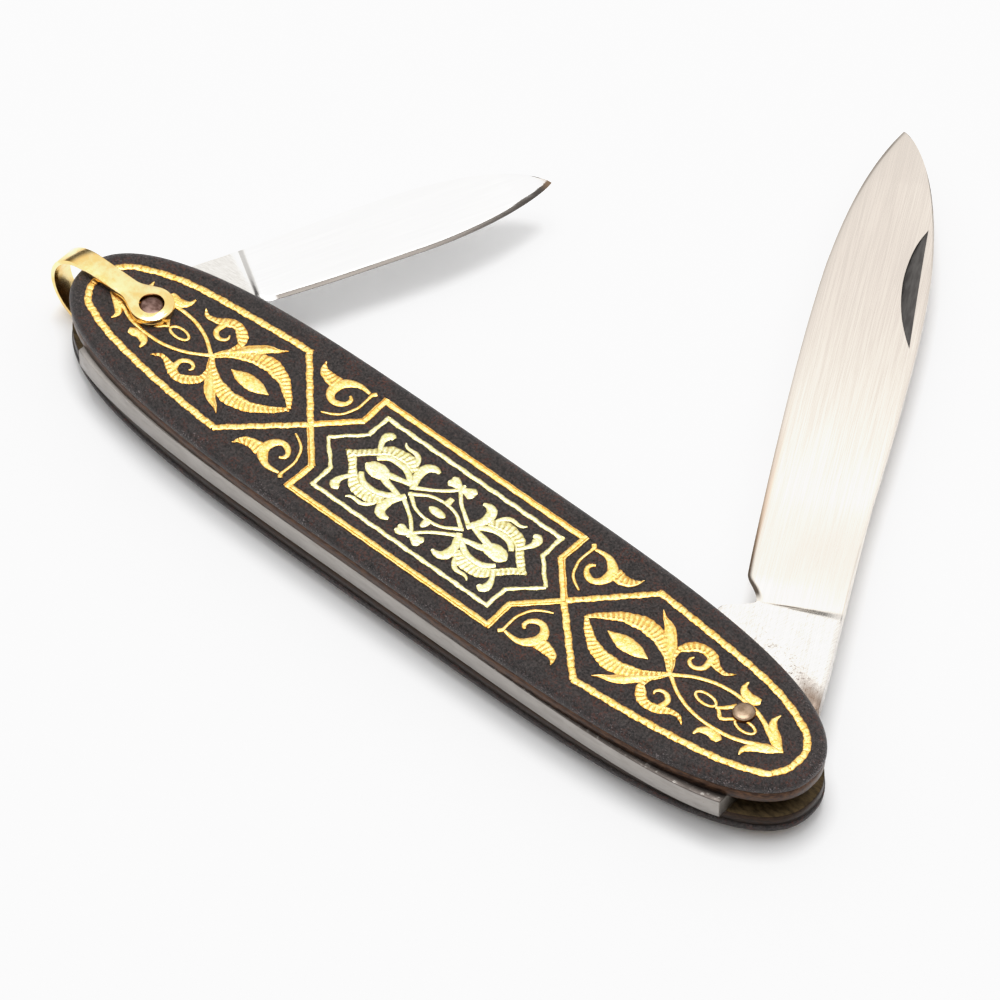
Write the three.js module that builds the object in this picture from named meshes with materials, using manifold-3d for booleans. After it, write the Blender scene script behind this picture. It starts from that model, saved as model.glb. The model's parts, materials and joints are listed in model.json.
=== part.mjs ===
// Two-blade folding pen and whittling knife with damascened covers and a bail.
// Units are millimetres. +X runs along the handle towards the main blade's pivot, +Y is the side that the
// blades swing out of, +Z is the normal of the front cover. The origin is the centre of the back ornament.
// The model stands as the half-open knife: both blades are part-way out of the handle.
import * as THREE from "three";
import { mergeVertices } from "three/addons/utils/BufferGeometryUtils.js";
import Module from "manifold-3d";

const wasm = await Module();
wasm.setup();

// ---- driving dimensions -------------------------------------------------------------------------------
const INLAY = 0.1; // how far the gold stands off the cover
const COVER = 1.2;
const LINER = 1.2;
const SLOT = 2.1; // gap between the liners, the spring's thickness
const BACK_FACE = INLAY;
const BACK_LINER_Z = BACK_FACE + COVER;
const SLOT_Z = BACK_LINER_Z + LINER;
const FRONT_LINER_Z = SLOT_Z + SLOT;
const FRONT_COVER_Z = FRONT_LINER_Z + LINER;
const FRONT_FACE = FRONT_COVER_Z + COVER;

const HANDLE = { halfLength: 41.6, halfWidth: 8.4, centreY: 0.37, along: 3.9, across: 2.3 };
const LINER_INSET = 0.1;
const COVER_ROUND = { rise: 0.8, run: 1.0, steps: 3 };
const OUTLINE_STEPS = 22; // points in each quarter of the handle's outline

const SIDE_GAP = 0.05; // running gap between a tang and a liner
const PIN_GAP = 0.08; // radial clearance of a hole around its pin
const SIDES = 24; // facets of every round piece

const MAIN = { pivot: [33.5, 0.96], pinRadius: 1.0, rest: 118.9, proud: 0.45 };
const PEN = { pivot: [-33.5, 0.41], pinRadius: 1.05, rest: 66.8 };
const LAYER = { thick: 0.9, clear: 0.08 }; // each blade keeps to its own half of the slot
const EDGE_THICK = 0.12;
const HUB_RADIUS = 2.7;

const WASHER = { radius: 1.95, thick: 0.35 };
const BAIL = { eyeRadius: 2.0, width: 2.1, thick: 0.48, lift: 0.02, reach: 11.45, pinSunk: 0.2 };
const SPRING_PIN = { x: 0, y: -6.35, radius: 0.75 };

const FINISH = {
  blackSteel: { color: 0x3b3232, roughness: 0.6, metalness: 0.5 },
  brass: { color: 0x7a5a36, roughness: 0.45, metalness: 0.9 },
  springSteel: { color: 0xa9a39d, roughness: 0.35, metalness: 1 },
  bladeSteel: { color: 0xd9d4cc, roughness: 0.25, metalness: 1 },
  gilt: { color: 0xf0cf86, roughness: 0.25, metalness: 1 },
  gold: { color: 0xf2bd55, roughness: 0.35, metalness: 1 },
  paleGold: { color: 0xe6dea0, roughness: 0.4, metalness: 1 },
  pinSteel: { color: 0x7b6152, roughness: 0.5, metalness: 0.9 },
};

// ---- solids -------------------------------------------------------------------------------------------
/** A closed three.js geometry as a manifold solid. */
function solid(geometry) {
  const bare = geometry.clone();
  bare.deleteAttribute("normal");
  bare.deleteAttribute("uv");
  const merged = mergeVertices(bare, 1e-5);
  return new wasm.Manifold(
    new wasm.Mesh({
      numProp: 3,
      vertProperties: new Float32Array(merged.attributes.position.array),
      triVerts: new Uint32Array(merged.index.array),
    }),
  );
}

/** A manifold solid as a flat-shaded three.js geometry. */
function geometryOf(body) {
  const mesh = body.getMesh();
  const geometry = new THREE.BufferGeometry();
  geometry.setAttribute("position", new THREE.BufferAttribute(mesh.vertProperties, 3));
  geometry.setIndex(new THREE.BufferAttribute(mesh.triVerts, 1));
  geometry.computeVertexNormals();
  return geometry;
}

/** A flat plate with the outline of a shape, from z0 up to z1. */
function plate(shape, z0, z1) {
  const options = { depth: z1 - z0, bevelEnabled: false, curveSegments: 8 };
  const geometry = new THREE.ExtrudeGeometry(shape, options);
  return solid(geometry.translate(0, 0, z0));
}

/** A round bar standing on z0, with its axis along Z. */
function rod([x, y], radius, z0, z1, sides = SIDES) {
  const geometry = new THREE.CylinderGeometry(radius, radius, z1 - z0, sides);
  return solid(geometry.rotateX(Math.PI / 2).translate(x, y, (z0 + z1) / 2));
}

const joined = (bodies) => bodies.reduce((whole, body) => whole.add(body));
const points = (list) => list.map(([x, y]) => new THREE.Vector2(x, y));

/** Half the width of a superellipse at x. */
function superWidth(x, halfLength, halfWidth, along, across) {
  const left = Math.max(0, 1 - Math.abs(x / halfLength) ** along);
  return halfWidth * left ** (1 / across);
}

/** The outline of the handle, drawn in by inset. */
function handleOutline(inset = 0) {
  const { halfLength, halfWidth, centreY, along, across } = HANDLE;
  const outline = [];
  for (let i = 0; i < 4 * OUTLINE_STEPS; i++) {
    const angle = (i / (4 * OUTLINE_STEPS)) * 2 * Math.PI;
    const c = Math.cos(angle);
    const s = Math.sin(angle);
    const x = (halfLength - inset) * Math.sign(c) * Math.abs(c) ** (2 / along);
    const y = (halfWidth - inset) * Math.sign(s) * Math.abs(s) ** (2 / across);
    outline.push([x, centreY + y]);
  }
  return outline;
}

// ---- covers and liners --------------------------------------------------------------------------------
/** A cover plate with a rounded rim, its flat inner side on z = 0 and its outer side facing +Z. */
function coverPlate() {
  const { rise, run, steps } = COVER_ROUND;
  const geometry = new THREE.ExtrudeGeometry(new THREE.Shape(points(handleOutline())), {
    depth: 2 * (COVER - rise),
    bevelEnabled: true,
    bevelThickness: rise,
    bevelSize: run,
    bevelOffset: -run,
    bevelSegments: steps,
  });
  const pillow = solid(geometry.translate(0, 0, rise - COVER));
  const upper = new THREE.BoxGeometry(3 * HANDLE.halfLength, 3 * HANDLE.halfLength, 2 * COVER);
  return pillow.intersect(solid(upper.translate(0, 0, COVER)));
}

/** The two pivot holes, through the whole handle. */
function pivotHoles() {
  return [MAIN, PEN].map(({ pivot, pinRadius }) =>
    rod(pivot, pinRadius + PIN_GAP, -COVER, FRONT_FACE + COVER));
}

function drilled(body) {
  return pivotHoles().reduce((rest, hole) => rest.subtract(hole), body);
}

const frontCover = () => drilled(coverPlate().translate(0, 0, FRONT_COVER_Z));
const backCover = () => drilled(coverPlate().mirror([0, 0, 1]).translate(0, 0, BACK_LINER_Z));

function liner(z) {
  const body = drilled(plate(new THREE.Shape(points(handleOutline(LINER_INSET))), z, z + LINER));
  const pinHole = rod([SPRING_PIN.x, SPRING_PIN.y], SPRING_PIN.radius + PIN_GAP, z - 1, z + LINER + 1);
  return body.subtract(pinHole);
}

// ---- backspring ---------------------------------------------------------------------------------------
const SPRING = {
  leftEnd: -36.6,
  rightEnd: 36.8,
  leftProud: 0.59, // how far each end stands out of the handle while its blade is part-open
  rightProud: 0.89,
  endInner: { left: -3.7, right: -3.45 }, // inner face under each tang
  middleInner: -4.9,
  endLength: 14.5, // length of the deeper stretch under each tang
  ramp: 5,
};

/** The one spring along the back of the handle, deeper under the tangs than in the middle. */
function backspring() {
  const { leftEnd, rightEnd, leftProud, rightProud, endInner, middleInner, endLength, ramp } = SPRING;
  const { halfLength, halfWidth, along, across } = HANDLE;
  const outer = [];
  const steps = 28;
  for (let i = 0; i <= steps; i++) {
    const x = leftEnd + ((rightEnd - leftEnd) * i) / steps;
    const proud = x < 0 ? leftProud * (x / leftEnd) ** 3 : rightProud * (x / rightEnd) ** 3;
    const width = superWidth(x, halfLength - LINER_INSET, halfWidth - LINER_INSET, along, across);
    outer.push([x, HANDLE.centreY - width - proud]);
  }
  const inner = [
    [rightEnd, endInner.right],
    [rightEnd - endLength, endInner.right],
    [rightEnd - endLength - ramp, middleInner],
    [leftEnd + endLength + ramp, middleInner],
    [leftEnd + endLength, endInner.left],
    [leftEnd, endInner.left],
  ];
  const body = plate(new THREE.Shape(points([...outer, ...inner])), SLOT_Z, SLOT_Z + SLOT);
  return body.subtract(rod([SPRING_PIN.x, SPRING_PIN.y], SPRING_PIN.radius + PIN_GAP, 0, FRONT_FACE));
}

// ---- blades -------------------------------------------------------------------------------------------
// A blade is drawn in its own frame: the pivot is the origin, +X points to the tip and +Y to the spine.
const TANG_Z = [SLOT_Z + SIDE_GAP, SLOT_Z + SLOT - SIDE_GAP];
const MIDDLE = SLOT_Z + SLOT / 2;
const LOWER = [MIDDLE - LAYER.clear - LAYER.thick, MIDDLE - LAYER.clear];
const UPPER = [MIDDLE + LAYER.clear, MIDDLE + LAYER.clear + LAYER.thick];

/**
 * A ground blade, thinned from the spine to the edge. layer(x) is the spine's [lowest, highest] z at x, and
 * edge(x) is the cutting edge's y.
 */
function groundBlade(shape, layer, edge, depth) {
  const geometry = new THREE.ExtrudeGeometry(shape, { depth: 1, bevelEnabled: false, curveSegments: 12 });
  const place = geometry.attributes.position;
  for (let i = 0; i < place.count; i++) {
    const [z0, z1] = layer(place.getX(i));
    const share = THREE.MathUtils.clamp((place.getY(i) - edge(place.getX(i))) / depth, 0, 1);
    const half = (EDGE_THICK + (z1 - z0 - EDGE_THICK) * share) / 2;
    place.setZ(i, (z0 + z1) / 2 + (place.getZ(i) > 0.5 ? half : -half));
  }
  return solid(geometry);
}

/** Turns a blade from its own frame to its place in the handle. side is 1 if the spine is to its left. */
function placedBlade(body, { pivot, rest }, side) {
  const flipped = side === 1 ? body : body.scale([1, -1, 1]);
  return flipped.rotate([0, 0, rest]).translate(pivot[0], pivot[1], 0);
}

const MAIN_BLADE = { tip: [70.1, 0.5], heel: [17.2, -3.05], plungeX: 14.2, spine: 5.8, edgeLow: -3.6 };
const MAIN_TANG = {
  seat: 3.6,
  back: 3.6,
  shoulder: 3.4,
  front: [13.9, -1.6],
  kick: [13.0, -4.75],
  frontTop: 14.9,
};
const TAPER = { from: 14.2, to: 27 }; // the stretch over which the main blade thins
const NICK = { from: 44.4, to: 59.0, drop: 2.3, depth: 0.25 };

function mainBladeShape() {
  const { tip, heel, plungeX, spine } = MAIN_BLADE;
  const shape = new THREE.Shape();
  shape.moveTo(plungeX - 2, spine);
  shape.lineTo(plungeX - 2, -1.5);
  shape.lineTo(15.4, -1.8);
  shape.quadraticCurveTo(16.2, -2.3, heel[0], heel[1]);
  shape.bezierCurveTo(30, -3.7, 44, -3.85, 53.6, -3.25);
  shape.bezierCurveTo(60, -2.7, 66.8, -1.3, tip[0], tip[1]);
  shape.bezierCurveTo(67, 2.9, 63.5, 4.35, 59, 5.3);
  shape.bezierCurveTo(52, 6.65, 44, 6.45, 36, 6.25);
  shape.lineTo(TAPER.to, 5.85);
  shape.lineTo((TAPER.from + TAPER.to) / 2, 5.72);
  shape.lineTo(plungeX - 2, spine);
  return shape;
}

/** The main blade thins from the tang's thickness to its own half of the slot, clear of the pen blade. */
function mainLayer(x) {
  const share = THREE.MathUtils.clamp((x - TAPER.from) / (TAPER.to - TAPER.from), 0, 1);
  return [LOWER[0], THREE.MathUtils.lerp(TANG_Z[1] - 0.15, LOWER[1], share)];
}

/** The tang behind a blade: kick, pivot square and the seat that takes the spring's end. */
function tangShape({ seat, back, shoulder, spine, front, kick, frontTop }) {
  const cut = seat * 0.53;
  const shape = new THREE.Shape(points([
    [shoulder, spine],
    [shoulder, seat],
    [-cut, seat],
    [-back, cut],
    [-back, -cut],
    [-cut, -seat],
    [kick[0] - 6.5, -seat],
    [kick[0] - 3.5, kick[1]],
  ]));
  shape.lineTo(kick[0] - 1, kick[1]);
  shape.quadraticCurveTo(kick[0], kick[1], kick[0] + 0.1, kick[1] + 0.9);
  shape.lineTo(front[0], front[1]);
  shape.lineTo(frontTop, spine);
  return shape;
}

function mainBlade() {
  const { plungeX, spine, edgeLow, tip } = MAIN_BLADE;
  const edge = (x) => (x < 50 ? edgeLow : edgeLow + (tip[1] - edgeLow) * ((x - 50) / (tip[0] - 50)) ** 2);
  const blade = groundBlade(mainBladeShape(), mainLayer, edge, spine - edgeLow);
  const tang = plate(
    tangShape({ ...MAIN_TANG, spine }),
    ...TANG_Z,
  );
  const middle = (NICK.from + NICK.to) / 2;
  const nickShape = new THREE.Shape();
  nickShape.moveTo(NICK.from, 8);
  nickShape.lineTo(NICK.from, spine);
  nickShape.quadraticCurveTo(middle - 1, spine - 2 * NICK.drop, NICK.to, spine - 0.8);
  nickShape.lineTo(NICK.to, 8);
  const nick = plate(nickShape, LOWER[1] - NICK.depth, LOWER[1] + 1);
  const bore = rod([0, 0], MAIN.pinRadius + PIN_GAP, 0, FRONT_FACE);
  return placedBlade(blade.add(tang).subtract(nick).subtract(bore), MAIN, -1);
}

const PEN_TANG = {
  seat: 3.4,
  back: 3.4,
  shoulder: 3.2,
  front: [9.6, -0.3],
  kick: [8.8, -3.7],
  frontTop: 10.3,
};
const PEN_BLADE = { tip: [38.9, 0.75], plungeX: 9.9, spine: 5.15, edgeLow: -1.75 };

function penBladeShape() {
  const { tip, plungeX, spine } = PEN_BLADE;
  const shape = new THREE.Shape();
  shape.moveTo(plungeX - 2, spine);
  shape.lineTo(plungeX - 2, -0.3);
  shape.lineTo(9.7, -0.3);
  shape.quadraticCurveTo(9.9, -1.0, 11, -1.15);
  shape.bezierCurveTo(17, -1.7, 26, -2.2, 33, -1.15);
  shape.bezierCurveTo(35.4, -0.7, 38.2, 0.05, tip[0], tip[1]);
  shape.bezierCurveTo(38.6, 1.5, 37.5, 2.15, 36.5, 2.7);
  shape.bezierCurveTo(32, 4.85, 27, 5.3, 20, spine);
  shape.lineTo(plungeX - 2, spine);
  return shape;
}

function penBlade() {
  const { plungeX, spine, edgeLow, tip } = PEN_BLADE;
  const edge = (x) => (x < 28 ? edgeLow : edgeLow + (tip[1] - edgeLow) * ((x - 28) / (tip[0] - 28)) ** 2);
  const blade = groundBlade(penBladeShape(), () => UPPER, edge, spine - edgeLow);
  const tang = plate(
    tangShape({ ...PEN_TANG, spine }),
    UPPER[0],
    TANG_Z[1],
  );
  const hub = rod([0, 0], HUB_RADIUS, ...TANG_Z);
  const bore = rod([0, 0], PEN.pinRadius + PIN_GAP, 0, FRONT_FACE);
  return placedBlade(blade.add(tang).add(hub).subtract(bore), PEN, 1);
}

// ---- pins, washers and bail ---------------------------------------------------------------------------
/** A pin with slightly hammered-over ends. */
function pin([x, y], radius, z0, z1, round = 0.15) {
  const profile = points([
    [0, z0],
    [radius - round, z0],
    [radius, z0 + round],
    [radius, z1 - round],
    [radius - round, z1],
    [0, z1],
  ]);
  return solid(new THREE.LatheGeometry(profile, SIDES).rotateX(Math.PI / 2).translate(x, y, 0));
}

const BAIL_TOP = FRONT_FACE + WASHER.thick + BAIL.lift + BAIL.thick;
const BAIL_BOTTOM = BACK_FACE - WASHER.thick - BAIL.lift - BAIL.thick;

const mainPivotPin = () => pin(MAIN.pivot, MAIN.pinRadius, BACK_FACE - MAIN.proud, FRONT_FACE + MAIN.proud);
const penPivotPin = () =>
  pin(PEN.pivot, PEN.pinRadius, BAIL_BOTTOM + BAIL.pinSunk, BAIL_TOP - BAIL.pinSunk, 0.05);
const springPin = () =>
  pin([SPRING_PIN.x, SPRING_PIN.y], SPRING_PIN.radius, BACK_LINER_Z, FRONT_COVER_Z, 0.05);

function washer(z) {
  const body = rod(PEN.pivot, WASHER.radius, z, z + WASHER.thick);
  return body.subtract(rod(PEN.pivot, PEN.pinRadius + PIN_GAP, z - 1, z + 2));
}

/** The shackle: a strap bent into a U around the end of the handle, with an eye at each end. */
function bail() {
  const [px, py] = PEN.pivot;
  const outer = (BAIL_TOP - BAIL_BOTTOM) / 2;
  const inner = outer - BAIL.thick;
  const bendX = px - BAIL.reach + outer;
  const middle = (BAIL_TOP + BAIL_BOTTOM) / 2;
  const profile = new THREE.Shape();
  profile.moveTo(px, middle + outer);
  profile.lineTo(bendX, middle + outer);
  profile.absarc(bendX, middle, outer, Math.PI / 2, 1.5 * Math.PI, false);
  profile.lineTo(px, middle - outer);
  profile.lineTo(px, middle - inner);
  profile.lineTo(bendX, middle - inner);
  profile.absarc(bendX, middle, inner, 1.5 * Math.PI, Math.PI / 2, true);
  profile.lineTo(px, middle + inner);
  const options = { depth: BAIL.width, bevelEnabled: false, curveSegments: 20 };
  const strap = new THREE.ExtrudeGeometry(profile, options);
  strap.translate(0, 0, -BAIL.width / 2).rotateX(Math.PI / 2).translate(0, py, 0);
  const eyeFeet = [BAIL_TOP - BAIL.thick, BAIL_BOTTOM];
  const eyes = eyeFeet.map((z) => rod(PEN.pivot, BAIL.eyeRadius, z, z + BAIL.thick));
  const hole = rod(PEN.pivot, PEN.pinRadius + PIN_GAP, BAIL_BOTTOM - 1, BAIL_TOP + 1);
  return joined([solid(strap), ...eyes]).subtract(hole);
}

// ---- gold inlay ---------------------------------------------------------------------------------------
// The ornament is drawn for the quarter x > 0, y > 0 of a cover and repeated by mirroring.
const LINE = { border: 0.64, cartouche: 0.56, panel: 0.46, stem: 0.42 };
const ORNAMENT = {
  crossing: 14.36,
  cartouche: [[11.47, 2.77], [11.3, 6.12]],
  panel: [[12.32, 0], [9.95, 2.43], [9.74, 4.65]],
  medallion: [20.25, 5.75],
  borderEnd: { halfLength: 39.5, halfWidth: 5.9, along: 5, across: 2.3 },
};

/** A ribbon of metal along a line of [x, y, width] places, from z0 to z1. */
function ribbon(line, z0, z1) {
  const sides = line.map(([x, y, width], i) => {
    const [ax, ay] = line[Math.max(0, i - 1)];
    const [bx, by] = line[Math.min(line.length - 1, i + 1)];
    const length = Math.hypot(bx - ax, by - ay);
    const nx = (-(by - ay) / length) * (width / 2);
    const ny = ((bx - ax) / length) * (width / 2);
    return [[x + nx, y + ny], [x - nx, y - ny]];
  });
  const outline = [...sides.map((side) => side[0]), ...sides.map((side) => side[1]).reverse()];
  return plate(new THREE.Shape(points(outline)), z0, z1);
}

/** A ribbon through a smooth curve of [x, y, width] places. */
function scroll(places, z0, z1, steps = 8) {
  const curve = new THREE.CatmullRomCurve3(places.map(([x, y, width]) => new THREE.Vector3(x, y, width)));
  return ribbon(curve.getPoints(steps).map((p) => [p.x, p.y, Math.max(p.z, 0.08)]), z0, z1);
}

/** Straight bars between neighbouring places, with a round joint at each. */
function bars(places, width, z0, z1) {
  const runs = places.slice(1).map(([x, y], i) => ribbon([[...places[i], width], [x, y, width]], z0, z1));
  const joints = places.slice(1, -1).map((place) => rod(place, width / 2, z0, z1, 5));
  return joined([...runs, ...joints]);
}

const mirrored = (body, x, y) => body.scale([x, y, 1]);
const acrossX = (body) => body.add(mirrored(body, 1, -1));
const allQuarters = (body) => [acrossX(body), mirrored(acrossX(body), -1, 1)];

function borderInlay(z0, z1) {
  const { crossing, cartouche, medallion, borderEnd } = ORNAMENT;
  const { halfLength, halfWidth, along, across } = borderEnd;
  const steps = 9;
  const start = Math.acos((medallion[0] / halfLength) ** (along / 2));
  const end = [];
  for (let i = 0; i <= steps; i++) {
    const angle = start * (1 - i / steps);
    end.push([
      halfLength * Math.cos(angle) ** (2 / along),
      halfWidth * Math.sin(angle) ** (2 / across),
      LINE.border,
    ]);
  }
  end[steps][1] = -LINE.border / 8;
  const quarter = joined([
    bars([[crossing - 0.2, -0.2], [medallion[0], end[0][1]]], LINE.border, z0, z1),
    ribbon(end, z0, z1),
    bars([[crossing + 0.2, -0.2], ...cartouche, [-0.2, cartouche[1][1]]], LINE.cartouche, z0, z1),
  ]);
  return joined(allQuarters(quarter));
}

function panelInlay(z0, z1) {
  const { panel } = ORNAMENT;
  return joined(allQuarters(bars([...panel, [-0.2, panel[2][1]]], LINE.panel, z0, z1)));
}

/** The pale centre: a ring around the middle, a lozenge with trefoils and a leaf mask at each end. */
function centreInlay(z0, z1) {
  const quarter = joined([
    scroll([[-0.05, 1.0, 0.3], [1.2, 0.85, 0.3], [2.75, -0.08, 0.35]], z0, z1),
    scroll([[-0.1, 3.35, 0.5], [1.0, 2.5, 0.4], [2.5, 0.9, 0.5], [3.6, 0.1, 0.6]], z0, z1),
    scroll([[0.5, 2.9, 0.5], [0.85, 3.4, 0.7], [1.5, 3.5, 0.3]], z0, z1, 5),
    scroll([[2.4, 0, 0.5], [3.5, 0.5, 0.6], [5.6, 1.55, 0.35], [7.4, 0.6, 0.6], [9.8, -0.05, 0.5]], z0, z1),
    scroll([[3.2, 0.3, 0.5], [3.7, 1.7, 1.0], [5.2, 2.75, 1.15], [7.2, 2.1, 0.9], [8.9, 0.2, 0.5]], z0, z1),
    scroll([[3.6, 1.5, 0.7], [3.9, 2.9, 0.8], [3.2, 3.6, 0.3]], z0, z1, 5),
    scroll([[7.6, 1.5, 0.6], [8.4, 2.4, 0.4], [8.3, 3.5, 0.7]], z0, z1, 5),
  ]);
  return joined(allQuarters(quarter));
}

/** A spiral with a leaf tail, in the space between a medallion and the cartouche. */
function cornerInlay(z0, z1) {
  return joined([
    scroll(
      [
        [12.95, 4.2, 0.4], [13.6, 5.1, 0.6], [15.2, 5.8, 0.8],
        [16.3, 4.6, 1.0], [15.3, 3.3, 0.8], [14.2, 3.8, 0.4],
      ],
      z0, z1, 12,
    ),
    scroll([[15.9, 4.9, 0.7], [17.2, 4.9, 0.9], [18.6, 6.0, 0.1]], z0, z1, 5),
    scroll([[13.2, 5.9, 0.5], [12.9, 4.2, 0.35], [13.3, 2.7, 0.35], [14.8, 1.8, 0.1]], z0, z1),
  ]);
}

/** The motif in each end medallion: a leafed lens, curled leaves and a stem that closes to a point. */
function endInlay(z0, z1) {
  const half = joined([
    scroll(
      [
        [16.9, -0.05, 0.4], [19.3, 1.9, 1.1], [22, 2.45, 1.5],
        [24.6, 1.5, 1.1], [26.3, -0.05, 0.8],
      ],
      z0, z1,
    ),
    scroll([[26, 0, 0.8], [24.6, 2.0, 1.1], [23.2, 3.4, 0.9], [21.4, 4.7, 0.1]], z0, z1, 5),
    scroll(
      [
        [26, 0.1, 0.6], [25.3, 2.0, 0.9], [25.9, 3.5, 1.1],
        [27.6, 3.6, 1.0], [29, 2.9, 0.7], [30.4, 3.5, 0.1],
      ],
      z0, z1, 12,
    ),
    scroll([[28, 3.2, 0.6], [28.1, 2.2, 0.5], [27.2, 1.8, 0.4], [26.7, 2.5, 0.2]], z0, z1, 5),
    scroll(
      [
        [25.8, -0.1, 0.7], [28.4, 1.5, LINE.stem], [32, 2.1, LINE.stem],
        [35.6, 1.4, 0.5], [38, -0.05, 0.8],
      ],
      z0, z1,
    ),
    scroll([[33.8, 2.0, 0.5], [33.2, 2.9, 0.9], [31.7, 3.7, 0.2]], z0, z1, 5),
    scroll([[37.6, 0.1, 0.7], [36.7, 1.2, 0.7], [35.8, 2.7, 0.1]], z0, z1, 5),
  ]);
  return acrossX(half);
}

/** The small oval in the middle of the ornament. */
function ovalInlay(z0, z1) {
  const shape = new THREE.Shape();
  shape.absellipse(0, 0, 0.85, 0.4, 0, 2 * Math.PI, false, 0);
  return plate(shape, z0, z1);
}

// ---- assembly -----------------------------------------------------------------------------------------
const knife = new THREE.Group();

function addPart(name, body, finish) {
  const mesh = new THREE.Mesh(geometryOf(body), new THREE.MeshStandardMaterial(FINISH[finish]));
  mesh.name = name;
  knife.add(mesh);
}

addPart("front_cover", frontCover(), "blackSteel");
addPart("back_cover", backCover(), "blackSteel");
addPart("front_liner", liner(FRONT_LINER_Z), "brass");
addPart("back_liner", liner(BACK_LINER_Z), "brass");
addPart("backspring", backspring(), "springSteel");
addPart("main_blade", mainBlade(), "bladeSteel");
addPart("pen_blade", penBlade(), "bladeSteel");
addPart("main_pivot_pin", mainPivotPin(), "pinSteel");
addPart("pen_pivot_pin", penPivotPin(), "pinSteel");
addPart("spring_pin", springPin(), "pinSteel");
addPart("front_bail_washer", washer(FRONT_FACE), "gilt");
addPart("back_bail_washer", washer(BACK_FACE - WASHER.thick), "gilt");
addPart("bail", bail(), "gilt");

/** The largest piece of a body: the washer cuts one small bud off its stem, and the bud is left out. */
const largest = (body) => body.decompose().sort((a, b) => b.volume() - a.volume())[0];

/** The ornament of one cover. The end motifs leave room for the washer and for the pivot pins. */
function addOrnament(side, z0, z1) {
  const room = [
    rod(PEN.pivot, WASHER.radius + 0.2, z0 - 1, z1 + 1),
    rod(MAIN.pivot, MAIN.pinRadius + 0.2, z0 - 1, z1 + 1),
  ];
  const clear = (body) => room.reduce((rest, hole) => rest.subtract(hole), body);
  addPart(`${side}_border_inlay`, clear(borderInlay(z0, z1)), "gold");
  addPart(`${side}_panel_frame_inlay`, panelInlay(z0, z1), "paleGold");
  addPart(`${side}_centre_inlay`, centreInlay(z0, z1), "paleGold");
  addPart(`${side}_centre_oval_inlay`, ovalInlay(z0, z1), "paleGold");
  const end = endInlay(z0, z1);
  addPart(`${side}_main_end_inlay`, clear(end), "gold");
  addPart(`${side}_bail_end_inlay`, largest(clear(mirrored(end, -1, 1))), "gold");
  const corner = cornerInlay(z0, z1);
  for (const [name, x, y] of [["a", 1, 1], ["b", -1, 1], ["c", -1, -1], ["d", 1, -1]]) {
    addPart(`${side}_corner_scroll_${name}`, mirrored(corner, x, y), "gold");
  }
}

addOrnament("front", FRONT_FACE, FRONT_FACE + INLAY);
addOrnament("back", 0, INLAY);

export default knife;
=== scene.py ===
"""The looks of a two-blade damascened pen and whittling knife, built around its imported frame.

Shapes are written in millimetres in the frame's own axes. +X runs along the handle towards the main blade's
pivot, +Y is the side that the blades swing out of, and +Z is the normal of the front cover.
"""

import json
import math
import random

import bmesh
import bpy
import numpy as np
from mathutils import Matrix, Vector


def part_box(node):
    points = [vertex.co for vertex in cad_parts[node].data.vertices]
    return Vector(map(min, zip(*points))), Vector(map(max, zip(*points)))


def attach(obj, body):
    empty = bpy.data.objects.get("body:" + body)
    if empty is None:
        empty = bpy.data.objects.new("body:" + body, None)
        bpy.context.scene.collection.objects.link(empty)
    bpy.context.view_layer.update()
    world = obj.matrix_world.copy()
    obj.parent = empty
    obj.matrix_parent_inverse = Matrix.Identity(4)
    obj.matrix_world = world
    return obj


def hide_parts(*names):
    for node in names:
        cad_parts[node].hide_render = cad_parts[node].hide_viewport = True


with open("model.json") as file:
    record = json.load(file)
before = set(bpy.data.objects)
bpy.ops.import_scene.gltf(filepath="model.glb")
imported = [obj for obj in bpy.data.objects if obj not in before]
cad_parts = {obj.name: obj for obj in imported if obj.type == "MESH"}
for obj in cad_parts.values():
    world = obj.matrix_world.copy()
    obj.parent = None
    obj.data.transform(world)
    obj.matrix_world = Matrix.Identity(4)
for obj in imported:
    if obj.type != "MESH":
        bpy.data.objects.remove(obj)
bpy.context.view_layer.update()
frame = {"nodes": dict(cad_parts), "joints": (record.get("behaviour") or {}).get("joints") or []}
random.seed(11)

MM = 0.001
HANDLE, MAIN, PEN, BAIL = "handle", "main_blade_assembly", "pen_blade_assembly", "bail_assembly"


def heights(node):
    """The lowest and highest z of a CAD node, in millimetres."""
    low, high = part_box(node)
    return low.z / MM, high.z / MM


def hinge(name):
    """A joint's axis in plan, in millimetres."""
    joint = next(j for j in frame["joints"] if j["name"] == name)
    return joint["pos_m"][0] / MM, joint["pos_m"][1] / MM


BACK_FACE = heights("back_cover")[0]
FRONT_INNER, FRONT_FACE = heights("front_cover")
SLOT_LOW, SLOT_HIGH = heights("backspring")
MIDDLE = (FRONT_FACE + BACK_FACE) / 2
FACE_HEIGHT = FRONT_FACE - MIDDLE
INLAY_RISE = heights("front_border_inlay")[1] - FRONT_FACE
MAIN_PIVOT, PEN_PIVOT = hinge("main_blade_fold"), hinge("pen_blade_fold")
MAIN_REST, PEN_REST = 118.9, 66.8  # the way each blade points in the frame at rest, in degrees from +X


# ---- mesh building ----


def closed_mesh(name, verts, faces):
    """A mesh from millimetre vertices, with its faces turned outwards."""
    mesh = bpy.data.meshes.new(name)
    mesh.from_pydata([Vector(v) * MM for v in verts], [], faces)
    build = bmesh.new()
    build.from_mesh(mesh)
    bmesh.ops.remove_doubles(build, verts=build.verts, dist=1e-8)
    bmesh.ops.recalc_face_normals(build, faces=build.faces)
    if build.calc_volume(signed=True) < 0:
        bmesh.ops.reverse_faces(build, faces=build.faces)
    build.to_mesh(mesh)
    build.free()
    return mesh


def placed(name, data):
    """A new object in the scene."""
    obj = bpy.data.objects.new(name, data)
    bpy.context.scene.collection.objects.link(obj)
    return obj


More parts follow.
